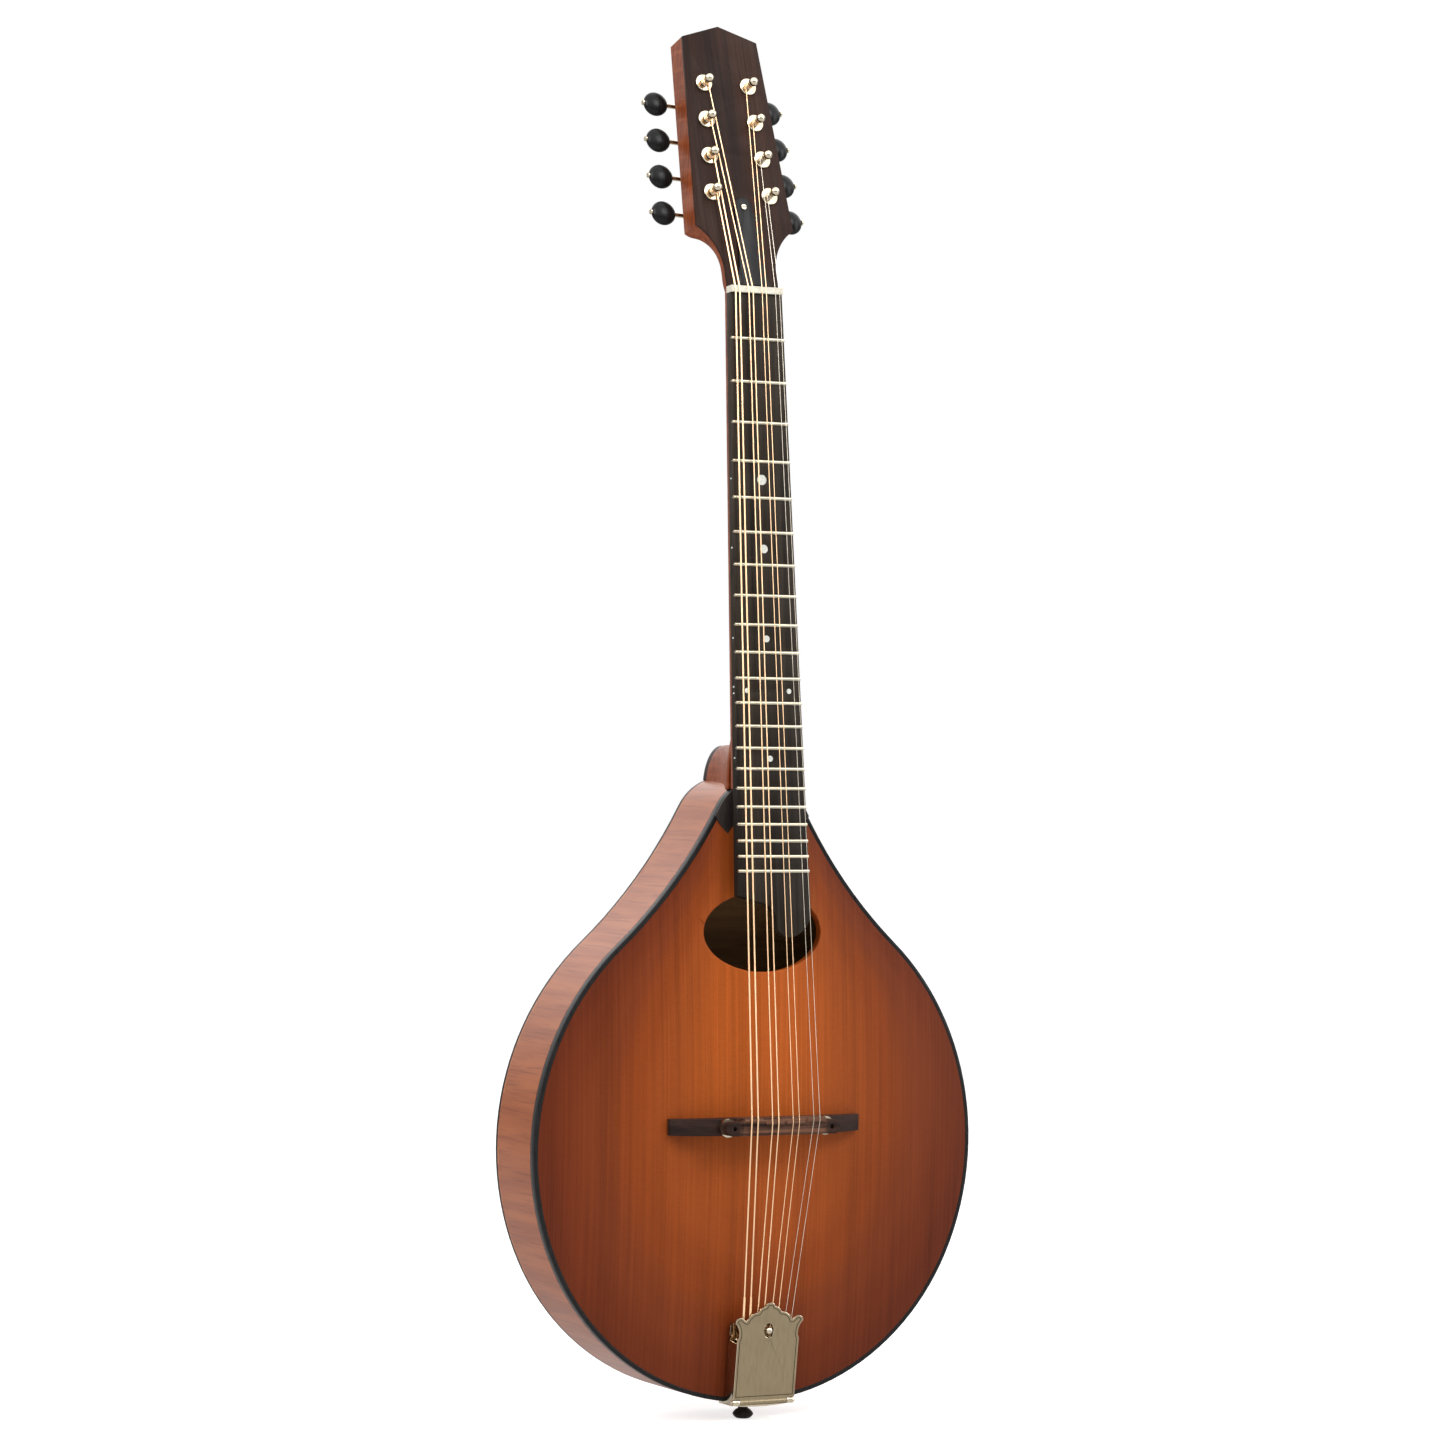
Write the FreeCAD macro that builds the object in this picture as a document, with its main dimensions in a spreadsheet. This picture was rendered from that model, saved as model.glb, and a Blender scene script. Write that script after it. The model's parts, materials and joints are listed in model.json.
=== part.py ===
import FreeCAD, Part
import math
import os

import Sketcher
from FreeCAD import Placement, Rotation, Vector

# Octave mandolin with a teardrop body, an oval sound hole and a floating bridge.
# It stands upright: +X to the treble side, -Y to the player's front, +Z along the neck.
# The origin is at the tail end, on the middle line and at the middle of the body's depth.

os.makedirs("parts", exist_ok=True)
doc = FreeCAD.newDocument("octave_mandolin")
sheet = doc.addObject("Spreadsheet::Sheet", "Sizes")


class Size(float):
    """A number that remembers how it is worked out from the cells of the sheet."""

    def __new__(cls, number, text):
        made = super().__new__(cls, number)
        made.text = text
        return made

    def __add__(self, other):
        return Size(float(self) + float(other), f"({self.text} + {written(other)})")

    def __radd__(self, other):
        return Size(float(other) + float(self), f"({written(other)} + {self.text})")

    def __sub__(self, other):
        return Size(float(self) - float(other), f"({self.text} - {written(other)})")

    def __rsub__(self, other):
        return Size(float(other) - float(self), f"({written(other)} - {self.text})")

    def __mul__(self, other):
        return Size(float(self) * float(other), f"({self.text} * {written(other)})")

    __rmul__ = __mul__

    def __truediv__(self, other):
        return Size(float(self) / float(other), f"({self.text} / {written(other)})")

    def __neg__(self):
        return Size(-float(self), f"(0 - {self.text})")


def written(number):
    """The text of a size, or of a plain number."""
    if isinstance(number, Size):
        return number.text
    return repr(float(number))


TABLE = [
    # Body
    ("body_length", 420.5, "tail end to the body's rounded end at the neck"),
    ("joint_drop", 7.5, "body's rounded end to the neck joint"),
    ("body_depth", 60.0, "front to back at the edge"),
    ("tail_radius_share", 0.39144, "outline arc through the tail, in body lengths"),
    ("tail_turn", 64.8, "degrees of the tail arc on each side"),
    ("side_radius_share", 0.43448, "outline arc of the sides, in body lengths"),
    ("shoulder_radius_share", 0.80785, "hollow outline arc up to the neck, in body lengths"),
    ("end_radius_share", 0.08766, "rounded end at the neck, in body lengths"),
    ("rib_wall", 2.6, "thickness of the bent ribs"),
    ("top_edge", 6.0, "thickness of the soundboard at its edge"),
    ("back_edge", 5.0, "thickness of the back at its edge"),
    ("plate_middle", 3.6, "thickness of both plates in the middle"),
    ("top_arch", 9.5, "rise of the soundboard"),
    ("back_arch", 11.0, "rise of the back"),
    ("arch_centre", 183.0, "height of the highest point of both arches"),
    ("top_binding_width", 3.0, "black binding seen on the top"),
    ("back_binding_width", 2.0, "black binding seen on the back"),
    ("back_binding_height", 3.0, "black binding seen on the side"),
    ("lining_width", 6.0, "lining, across"),
    ("lining_height", 12.0, "lining, along the rib"),
    ("hole_width", 89.0, "oval sound hole, across"),
    ("hole_height", 54.0, "oval sound hole, up and down"),
    ("hole_centre", 317.0, "height of the sound hole"),
    ("neck_block_length", 46.0, "neck block, up and down"),
    ("tail_block_width", 62.0, "tail block, across"),
    ("tail_block_length", 22.0, "tail block, up and down"),
    ("tone_bar_width", 7.0, "tone bar, across"),
    ("tone_bar_height", 13.0, "tone bar, off the soundboard"),
    ("tone_bar_length", 232.0, "tone bar, end to end"),
    ("tone_bar_apart", 66.0, "middle to middle of the tone bars"),
    ("tone_bar_turn", 6.0, "degrees that a tone bar leans out"),
    ("tone_bar_centre", 162.0, "height of the middle of the tone bars"),
    ("brace_width", 8.0, "back brace, up and down"),
    ("brace_height", 9.0, "back brace, off the back"),
    ("brace_step", 92.0, "distance between the back braces"),
    ("brace_first", 86.0, "height of the lowest back brace"),
    ("cap_thickness", 1.6, "black top caps beside the fingerboard"),
    ("cap_round", 40.0, "radius of the top caps' lower edge about the neck joint"),
    ("glue_gap", 0.05, "gap between carved wood that is glued"),
    ("seat_gap", 0.1, "gap under pieces that sit on an arch"),
    ("overrun", 3.0, "how far a cut runs past what it cuts"),
    # Neck
    ("scale_length", 558.8, "nut to saddle"),
    ("joint_fret", 16.0, "fret that stands over the neck joint"),
    ("neck_angle", 5.25, "degrees that the neck leans back"),
    ("neck_overstand", 7.0, "neck surface in front of the body's edge at the joint"),
    ("nut_width", 39.4, "fingerboard width at the nut"),
    ("last_fret_width", 54.0, "fingerboard width at the last fret"),
    ("board_thickness", 6.0, "fingerboard"),
    ("neck_depth_nut", 15.0, "neck wood behind the board at the nut"),
    ("neck_depth_heel", 18.0, "neck wood behind the board at the heel"),
    ("neck_side_inset", 0.4, "neck wood inside the board's edge"),
    ("heel_length", 29.0, "neck joint to the upper end of the heel cap"),
    ("tenon_width", 20.0, "neck tenon, across"),
    ("tenon_length", 14.0, "neck tenon, into the block"),
    ("tenon_depth", 38.0, "neck tenon, front to back"),
    ("tenon_gap", 0.1, "gap round the tenon"),
    ("fret_crown", 2.4, "width of a fret's crown"),
    ("tang_width", 0.6, "width of a fret's tang"),
    ("tang_depth", 1.6, "depth of a fret's tang"),
    ("slot_gap", 0.04, "gap round a tang, dot or screw in the wood"),
    ("dot_depth", 1.2, "depth of a position dot"),
    ("fifth_dot", 7.0, "diameter of the dot at the fifth fret"),
    ("seventh_dot", 5.8, "diameter of the dot at the seventh fret"),
    ("tenth_dot", 4.6, "diameter of the dot at the tenth fret"),
    ("twelfth_dot", 3.5, "diameter of the two dots at the twelfth fret"),
    ("fifteenth_dot", 4.1, "diameter of the dot at the fifteenth fret"),
    ("side_dot_size", 2.2, "diameter of a side dot"),
    ("double_dot_apart", 32.0, "middle to middle of the two dots"),
    ("bass_end", 409.0, "nut to the board's end on the bass side"),
    ("tongue_shoulder", 414.5, "nut to the start of the board's tongue"),
    ("tongue_edge", 418.0, "nut to the end of the treble edge"),
    ("tongue_waist", 427.0, "nut to the middle of the tongue's bass side"),
    ("tongue_end", 437.0, "nut to the end of the tongue"),
    ("tongue_shoulder_in", 6.0, "start of the tongue, to the bass side"),
    ("tongue_waist_out", 1.2, "bass side of the tongue, to the treble side"),
    ("tongue_end_out", 12.0, "lowest point of the tongue, to the treble side"),
    ("tongue_outer_round", 18.0, "treble corner of the tongue"),
    ("tongue_inner_round", 10.0, "bass corner of the tongue"),
    ("tongue_hollow", 13.0, "hollow beside the tongue"),
    ("riser_width", 44.0, "riser under the board's extension"),
    ("riser_length", 68.0, "riser, from the joint down"),
    ("riser_reach", 7.0, "riser blank behind the board"),
    ("nut_length", 4.5, "nut, along the neck"),
    ("nut_front", 8.4, "nut height at the fingerboard"),
    ("nut_rear", 7.9, "nut height at the peghead"),
    ("nut_action", 0.5, "string above the frets' plane at the nut"),
    ("saddle_action", 5.5, "string above the frets' plane at the saddle"),
    ("compensation", 1.3, "saddle line beyond the scale length"),
    ("saddle_lead", 4.4, "saddle line above the middle of the bridge"),
    ("nut_bend", 6.0, "radius of a string's bend over the nut"),
    ("rod_radius", 2.5, "truss rod"),
    ("rod_depth", 5.2, "truss rod's axis behind the neck's surface"),
    ("rod_length", 300.0, "truss rod behind the board"),
    ("rod_gap", 0.1, "gap round the truss rod"),
    ("rod_nut_radius", 3.6, "truss rod nut"),
    ("rod_nut_length", 11.0, "truss rod nut"),
    ("rod_nut_socket", 2.2, "radius of the nut's six-sided socket"),
    ("rod_pocket_width", 10.0, "pocket for the nut in the peghead"),
    ("rod_pocket_length", 30.0, "pocket for the nut in the peghead"),
    ("rod_pocket_depth", 9.5, "pocket for the nut in the peghead"),
    # Peghead
    ("head_angle", 12.0, "degrees that the peghead leans back from the neck"),
    ("head_thickness", 16.3, "peghead wood"),
    ("overlay_thickness", 1.8, "rosewood overlay"),
    ("head_flare_start", 14.0, "nut to the start of the flare"),
    ("head_flare_round", 39.3, "radius of the flare"),
    ("head_corner", 43.9, "nut to the lower corners"),
    ("head_corner_width", 74.8, "peghead width at the lower corners"),
    ("head_top", 184.1, "nut to the upper corners"),
    ("head_top_width", 57.7, "peghead width at the upper corners"),
    ("head_peak", 193.9, "nut to the peak"),
    ("cover_screw_place", 58.2, "nut to the screw of the truss rod cover"),
    ("cover_top_round", 6.8, "top of the truss rod cover"),
    ("cover_foot_width", 25.0, "truss rod cover at the nut"),
    ("cover_foot", 1.0, "nut to the foot of the cover"),
    ("cover_thickness", 1.8, "truss rod cover"),
    ("cover_waist_share", 0.55, "place of the cover's waist, as a share of its length"),
    ("cover_waist_width", 15.0, "truss rod cover at its waist"),
    # Tuners
    ("tuner_first", 68.3, "nut to the lowest post"),
    ("tuner_step", 27.2, "post to post"),
    ("post_inset", 13.8, "post to the edge of the peghead"),
    ("post_radius", 2.45, "string post"),
    ("waist_radius", 1.9, "string post where the string winds"),
    ("waist_length", 4.4, "string post where the string winds"),
    ("ball_radius", 3.15, "round end of a post"),
    ("ball_height", 9.0, "middle of the ball above the overlay"),
    ("collar_radius", 3.2, "collar of the post on the plate"),
    ("gear_seat_radius", 2.1, "end of the post in the gear"),
    ("string_hole", 0.7, "radius of the hole across the post"),
    ("bushing_radius", 6.2, "bushing's flange"),
    ("bushing_flange", 1.4, "thickness of the bushing's flange"),
    ("sleeve_radius", 4.0, "bushing's sleeve"),
    ("sleeve_length", 9.0, "bushing's sleeve"),
    ("running_gap", 0.05, "radial gap of a turning shaft"),
    ("plate_thickness", 1.2, "tuner plate"),
    ("tuner_plate_width", 12.6, "tuner plate, across the peghead"),
    ("plate_above", 9.3, "tuner plate above the post"),
    ("plate_below", 16.4, "tuner plate below the post"),
    ("gear_teeth", 15.0, "teeth of the gear"),
    ("gear_module", 0.9, "pitch diameter over teeth"),
    ("gear_thickness", 3.2, "gear"),
    ("gear_root", 6.0, "radius of the gear below its teeth"),
    ("gear_tip", 7.2, "radius of the gear over its teeth"),
    ("tooth_root_width", 1.6, "tooth at its foot"),
    ("tooth_tip_width", 0.8, "tooth at its tip"),
    ("gear_lift", 4.5, "middle of the gear behind the peghead"),
    ("centre_distance", 9.5, "post axis to worm axis"),
    ("worm_core", 2.0, "radius of the worm below its thread"),
    ("worm_tip", 3.3, "radius of the worm over its thread"),
    ("thread_root_width", 1.3, "worm thread at its foot"),
    ("thread_tip_width", 0.6, "worm thread at its crest"),
    ("thread_sink", 0.3, "worm thread inside the core"),
    ("worm_half_length", 3.4, "half of the worm"),
    ("worm_shaft_radius", 1.5, "shaft of the tuner key"),
    ("ear_inner", 4.0, "worm's middle to the inside of an ear"),
    ("ear_thickness", 1.2, "ear of the tuner plate"),
    ("ear_half_width", 2.8, "half of an ear, along the peghead"),
    ("shaft_tail", 0.4, "shaft past the inner ear"),
    ("button_gap", 4.4, "peghead's edge to the button"),
    ("button_length", 17.3, "button, along its shaft"),
    ("button_height", 17.4, "button, along the peghead"),
    ("button_thickness", 9.0, "button, front to back"),
    ("button_outer_share", 0.512, "rounding of a button's outer half, in button heights"),
    ("button_inner_share", 0.55, "rounding of a button's inner half, in button heights"),
    ("button_neck", 6.4, "button where the shaft enters"),
    ("button_grip", 8.0, "shaft inside the button"),
    ("button_screw_radius", 1.9, "screw head on the button"),
    ("button_screw_height", 1.0, "screw head on the button"),
    ("button_screw_shank", 0.8, "screw in the button's end"),
    ("button_screw_depth", 4.0, "screw in the button's end"),
    ("gear_screw_radius", 2.3, "screw head on the gear"),
    ("gear_screw_height", 1.3, "screw head on the gear"),
    ("driver_slot", 0.5, "slot across a screw head"),
    ("small_screw_head", 1.4, "radius of a plate screw's head"),
    ("small_screw_height", 0.8, "height of a plate screw's head"),
    ("small_screw_shank", 0.8, "radius of a plate screw"),
    ("small_screw_length", 7.0, "length of a plate screw"),
    ("cover_screw_head", 1.9, "radius of the cover screw's head"),
    # Strings
    ("gauge_g", 1.17, "wound G strings"),
    ("gauge_d", 0.86, "wound D strings"),
    ("gauge_a", 0.56, "wound A strings"),
    ("gauge_e", 0.3, "plain E strings"),
    ("nut_span", 34.0, "first to last string at the nut"),
    ("nut_pair", 3.2, "string to string of a pair at the nut"),
    ("saddle_span", 52.0, "first to last string at the saddle"),
    ("saddle_pair", 4.7, "string to string of a pair at the saddle"),
    ("hook_step", 5.0, "hook to hook"),
    ("string_gap", 0.08, "gap between a string and what it runs on"),
    ("turn_gap", 0.45, "gap between two turns on a post"),
    ("string_level", 0.35, "lowest winding above the waist's foot"),
    ("string_tail", 2.0, "straight end of a winding"),
    ("loop_wrap", 0.3, "how much thicker a string is near its loop"),
    ("loop_wrap_length", 30.0, "wrapped length of a G string"),
    # Bridge
    ("base_length", 144.0, "bridge base"),
    ("base_width", 11.0, "bridge base, up and down"),
    ("base_end", 11.5, "front of the base's ends above the body's edge"),
    ("base_middle", 24.0, "front of the base's middle above the body's edge"),
    ("base_flat", 88.0, "flat middle of the base"),
    ("base_shoulder", 5.0, "slope beside the flat middle, across"),
    ("base_shoulder_drop", 1.6, "slope beside the flat middle, drop"),
    ("base_wing_round", 60.0, "hollow of the base's wings"),
    ("stud_apart", 73.7, "stud to stud"),
    ("stud_radius", 1.5, "bridge stud"),
    ("stud_sink", 7.0, "stud inside the base"),
    ("stud_rise", 9.5, "stud in front of the base"),
    ("stud_gap", 0.06, "radial gap round a stud"),
    ("wheel_radius", 6.3, "thumbwheel"),
    ("wheel_thickness", 2.5, "thumbwheel"),
    ("wheel_knurl", 0.45, "depth of the thumbwheel's notches"),
    ("wheel_room", 1.7, "thumbwheel above the base"),
    ("saddle_length", 86.0, "saddle"),
    ("saddle_width", 9.5, "saddle, up and down"),
    ("lug_height", 9.5, "saddle at its ends"),
    ("ridge_length", 62.0, "saddle's ridge under the strings"),
    ("ridge_below", 3.6, "saddle's ridge, below the bridge's middle line"),
    ("ridge_above", 7.0, "saddle's ridge, above the bridge's middle line"),
    ("ridge_crest", 1.3, "lower edge of the crest, above the middle line"),
    ("crest_radius", 1.4, "rounded crest under a pair of strings"),
    ("crest_length", 13.6, "crest under a pair of strings"),
    ("crest_g", 1.4, "crest of the G strings, up from the saddle line"),
    ("crest_d", -1.2, "crest of the D strings, up from the saddle line"),
    ("crest_a", -1.1, "crest of the A strings, up from the saddle line"),
    ("crest_e", 0.6, "crest of the E strings, up from the saddle line"),
    # Tailpiece
    ("tail_lean", 7.5, "degrees that the tailpiece follows the arch"),
    ("tail_seat", 6.1, "tail end to the foot of the tailpiece's cover"),
    ("tail_lift", 0.85, "tailpiece in front of the body's edge"),
    ("tail_plate", 2.0, "tailpiece base plate"),
    ("tail_plate_length", 50.0, "tailpiece base plate"),
    ("tail_wall", 1.4, "side walls of the tailpiece"),
    ("tail_wall_length", 38.1, "side walls of the tailpiece"),
    ("tail_height", 12.5, "front of the side walls"),
    ("tail_base_width", 46.0, "tailpiece base, across"),
    ("flange_wall", 1.6, "flange on the tail end"),
    ("flange_gap", 0.1, "flange to the rib"),
    ("flange_back", 6.5, "body's edge to the wide end of the flange"),
    ("tongue_back", 24.0, "body's edge to the end of the flange's tongue"),
    ("flange_tongue_width", 16.0, "flange's tongue, across"),
    ("pin_back", 15.0, "body's edge to the end pin"),
    ("hook_radius", 1.1, "string hook"),
    ("hook_rise", 10.1, "string hook, off the base plate"),
    ("hook_cap", 1.7, "radius of a hook's cap"),
    ("hook_cap_height", 0.8, "hook's cap"),
    ("hook_place", 38.0, "tail end to the hooks"),
    ("loop_level", 10.0, "strings at the hooks, off the tailpiece's foot"),
    ("cover_plate", 1.3, "tailpiece cover"),
    ("cover_gap", 0.1, "cover to the side walls"),
    ("cover_width", 46.6, "tailpiece cover"),
    ("cover_neck_height", 41.0, "cover's straight sides"),
    ("cover_notch_height", 44.6, "notch above the straight sides"),
    ("cover_notch_width", 44.6, "cover at its notches"),
    ("cover_ear_height", 52.5, "cover's ears, outermost"),
    ("cover_ear_width", 51.4, "cover's ears, outermost"),
    ("cover_lobe_width", 5.9, "lobe of an ear, across"),
    ("cover_lobe_rise", 2.9, "inner end of a lobe above its outermost point"),
    ("cover_valley_width", 2.7, "inner end of a lobe to the valley inside it"),
    ("cover_valley_height", 53.5, "valley inside the ears"),
    ("cover_shoulder_height", 59.3, "shoulder of the cover's crown"),
    ("cover_shoulder_width", 17.6, "shoulder of the cover's crown"),
    ("cover_crown_height", 63.1, "foot of the cover's tip"),
    ("cover_crown_width", 7.6, "foot of the cover's tip"),
    ("cover_height", 65.6, "tip of the cover"),
    ("notch_round_share", 0.1, "curve into the notch, in straight side heights"),
    ("ear_side_share", 0.2, "curve from the notch to the ear, in ear widths"),
    ("ear_round_share", 0.62, "curve of an ear's lobe, in lobe widths"),
    ("valley_round_share", 0.0909, "curve of the valley, in ear widths"),
    ("shoulder_round_share", 0.2, "curve of the crown's shoulder, in cover widths"),
    ("crown_round_share", 0.137, "curve to the foot of the tip, in cover widths"),
    ("tip_round_share", 0.077, "curve of the tip, in cover widths"),
    ("cover_line_inset", 1.5, "engraved line inside the cover's edge"),
    ("cover_line_width", 0.5, "engraved line"),
    ("cover_line_depth", 0.3, "engraved line"),
    ("latch_place", 46.6, "tail end to the latch"),
    ("latch_window_width", 7.0, "oval window of the cover"),
    ("latch_window_height", 10.0, "oval window of the cover"),
    ("latch_ball", 2.5, "radius of the latch's ball"),
    ("latch_stem", 1.3, "radius of the latch's stem"),
    ("barrel_radius", 2.2, "hinge barrel"),
    ("barrel_back", 12.0, "hinge axis in front of the tailpiece's foot"),
    ("barrel_drop", 2.4, "hinge axis below the tail end"),
    ("knuckle_length", 5.0, "outer knuckles of the hinge"),
    ("knuckle_gap", 0.2, "gap between knuckles"),
    ("hinge_pin_radius", 0.9, "hinge pin"),
    ("hinge_pin_head", 1.4, "head of the hinge pin"),
    ("hinge_pin_head_height", 0.9, "head of the hinge pin"),
    ("tail_screw_apart", 22.0, "screw to screw in the flange"),
    ("tail_screw_back", 10.0, "body's edge to the flange's screws"),
    ("tail_screw_radius", 1.3, "tailpiece screw"),
    ("tail_screw_head", 2.6, "radius of a tailpiece screw's head"),
    ("tail_screw_head_height", 1.2, "tailpiece screw's head"),
    ("tail_screw_length", 15.0, "tailpiece screw"),
    ("pin_neck", 3.6, "radius of the end pin's neck"),
    ("pin_head", 7.15, "radius of the end pin's head"),
    ("pin_foot", 4.6, "radius of the end pin's foot"),
    ("pin_neck_length", 4.4, "end pin's neck"),
    ("pin_length", 11.0, "end pin outside the body"),
    ("pin_flat_share", 0.6, "flat end of the end pin, in head radii"),
    ("pin_widest_share", 0.72, "widest place of the end pin, in pin lengths"),
    ("pin_round_share", 0.7, "rounding of the end pin's head, in head radii"),
    ("pin_hollow_share", 0.3333, "hollow at the end pin's foot, in pin lengths"),
    ("pin_shank", 3.2, "radius of the end pin in the block"),
    ("pin_shank_length", 18.0, "end pin in the block"),
]
FRETS = 21
POSTS_A_SIDE = 4
DOUBLE_DOT = 12
KNURL_NOTCHES = 40
BACK_BRACES = 3
DOME_SHARES = (1.0, 0.86, 0.66, 0.42, 0.14)


class Sizes:
    """All cells of the sheet, by name."""


mm = Sizes()
for row, (alias, number, note) in enumerate(TABLE, start=1):
    sheet.set(f"A{row}", alias)
    sheet.set(f"B{row}", str(number))
    sheet.set(f"C{row}", note)
    sheet.setAlias(f"B{row}", alias)
    setattr(mm, alias, Size(number, f"Sizes.{alias}"))
doc.recompute()

nodes = {}
ACROSS = Vector(1, 0, 0)
BACK = Vector(0, 1, 0)
UP = Vector(0, 0, 1)


def bind(thing, **formulas):
    """Tie properties of an object to the sheet."""
    for name, formula in formulas.items():
        setattr(thing, name, float(formula))
        thing.setExpression(name, written(formula))


def plane_of(body, role):
    """One of the body's own origin planes."""
    return [plane for plane in body.Origin.OriginFeatures if plane.Role == role][0]


def fix(drawing, kind, places, number):
    """Add a dimension to a sketch and tie it to the sheet."""
    index = drawing.addConstraint(Sketcher.Constraint(kind, *places, float(number)))
    if isinstance(number, Size):
        drawing.setExpression(f"Constraints[{index}]", number.text)


def add_circle(drawing, across, up, radius):
    """Draw a circle in a sketch."""
    circle = Part.Circle(Vector(across, up, 0), UP, float(radius))
    index = drawing.addGeometry(circle, False)
    fix(drawing, "DistanceX", (index, 3), across)
    fix(drawing, "DistanceY", (index, 3), up)
    fix(drawing, "Radius", (index,), radius)


def arc_geometry(start, end, radius):
    """The short arc from start to end, to the left for a positive radius."""
    chord = end - start
    reach = math.sqrt(radius ** 2 - (chord.Length / 2) ** 2)
    left = Vector(-chord.y, chord.x, 0).normalize()
    centre = (start + end) * 0.5 + left * math.copysign(reach, radius)
    first, last = (start, end) if radius > 0 else (end, start)
    angles = [math.atan2(point.y - centre.y, point.x - centre.x) for point in (first, last)]
    if angles[1] < angles[0]:
        angles[1] += 2 * math.pi
    return Part.ArcOfCircle(Part.Circle(centre, UP, abs(radius)), *angles)


def add_outline(drawing, corners):
    """Draw a closed outline. A corner is (x, y), or (x, y, radius) to reach it on an arc."""
    points = [Vector(corner[0], corner[1], 0) for corner in corners]
    pieces = []
    for number, corner in enumerate(corners):
        start, end = points[number - 1], points[number]
        if len(corner) == 2:
            index = drawing.addGeometry(Part.LineSegment(start, end), False)
            pieces.append((index, 1, 2))
            continue
        index = drawing.addGeometry(arc_geometry(start, end, float(corner[2])), False)
        pieces.append((index, 1, 2) if corner[2] > 0 else (index, 2, 1))
    for number, (index, start_end, _) in enumerate(pieces):
        before, _, before_end = pieces[number - 1]
        drawing.addConstraint(Sketcher.Constraint("Coincident", before, before_end, index, start_end))
        fix(drawing, "DistanceX", (index, start_end), corners[number - 1][0])
        fix(drawing, "DistanceY", (index, start_end), corners[number - 1][1])
        if len(corners[number]) == 3:
            radius = corners[number][2]
            fix(drawing, "Radius", (index,), radius if radius > 0 else -radius)


def sketch(body, name, role, outlines=(), circles=(), lift=None):
    """A sketch on one of the body's planes, lifted off it if need be."""
    drawing = body.newObject("Sketcher::SketchObject", name)
    drawing.AttachmentSupport = [(plane_of(body, role), "")]
    drawing.MapMode = "FlatFace"
    if lift is not None:
        drawing.AttachmentOffset = Placement(Vector(0, 0, lift), Rotation())
        drawing.setExpression(".AttachmentOffset.Base.z", written(lift))
    for outline in outlines:
        add_outline(drawing, outline)
    for circle in circles:
        add_circle(drawing, *circle)
    doc.recompute()
    return drawing


def part_body(label, place=None):
    """A new body, standing at its place."""
    body = doc.addObject("PartDesign::Body", label)
    body.Label = label
    if place is not None:
        body.Placement = place
    return body


def pad(body, drawing, length, back=False, both=False):
    """Thicken a sketch. On the XZ plane a pad grows to the front, or to the back."""
    made = body.newObject("PartDesign::Pad", drawing.Name + "_pad")
    made.Profile = drawing
    made.Reversed = back
    made.Midplane = both
    bind(made, Length=length)
    doc.recompute()
    return made


def pocket(body, drawing, depth, back=False, both=False):
    """Cut a sketch into the body."""
    made = body.newObject("PartDesign::Pocket", drawing.Name + "_cut")
    made.Profile = drawing
    made.Reversed = back
    made.Midplane = both
    bind(made, Length=depth)
    doc.recompute()
    return made


def turned(body, drawing, axis):
    """Turn a sketch a full round about one of its own axes."""
    made = body.newObject("PartDesign::Revolution", drawing.Name + "_turned")
    made.Profile = drawing
    made.ReferenceAxis = (drawing, [axis])
    made.Angle = 360
    doc.recompute()
    return made


def feature(label, shape, place=None):
    """An object with a shape of its own."""
    made = doc.addObject("Part::Feature", label)
    made.Label = label
    made.Shape = shape
    if place is not None:
        made.Placement = place
    return made


def group(label, members):
    """Separate solids that share one node."""
    made = doc.addObject("Part::Compound", label)
    made.Label = label
    made.Links = members
    return made


def copy_of(source, label, place):
    """A second piece like the first, put at its own place."""
    return feature(label, source.Shape.copy(), place * source.Shape.Placement)


def cylinder(label, radius, height, place):
    """A round bar, made along +Z and put at its place."""
    made = doc.addObject("Part::Cylinder", label)
    made.Label = label
    bind(made, Radius=radius, Height=height)
    made.Placement = place
    return made


def box(label, size, place):
    """A block with a corner at its place."""
    made = doc.addObject("Part::Box", label)
    made.Label = label
    bind(made, Length=size[0], Width=size[1], Height=size[2])
    made.Placement = place
    return made


def cut(label, base, *tools):
    """The base without the tools."""
    tool = tools[0] if len(tools) == 1 else group(label + "_tools", list(tools))
    made = doc.addObject("Part::Cut", label)
    made.Label = label
    made.Base = base
    made.Tool = tool
    return made


def fuse(label, *members):
    """Members that are one piece of material."""
    made = doc.addObject("Part::MultiFuse", label)
    made.Label = label
    made.Shapes = list(members)
    made.Refine = True
    return made


def node(thing, name=None):
    """Name an object as a piece of the instrument."""
    nodes[name or thing.Label] = thing
    return thing


# Frames of the body, the neck, the peghead and the tailpiece

front = -mm.body_depth / 2
rear = mm.body_depth / 2


def sine(degrees):
    return math.sin(math.radians(degrees))


def cosine(degrees):
    return math.cos(math.radians(degrees))


def fret_distance(number):
    """Distance from the nut to a fret."""
    return mm.scale_length * (1 - 2 ** (-number / 12))


def board_half(distance):
    """Half the fingerboard's width at a distance from the nut."""
    taper = (mm.last_fret_width - mm.nut_width) / fret_distance(FRETS)
    return (mm.nut_width + taper * distance) / 2


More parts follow.
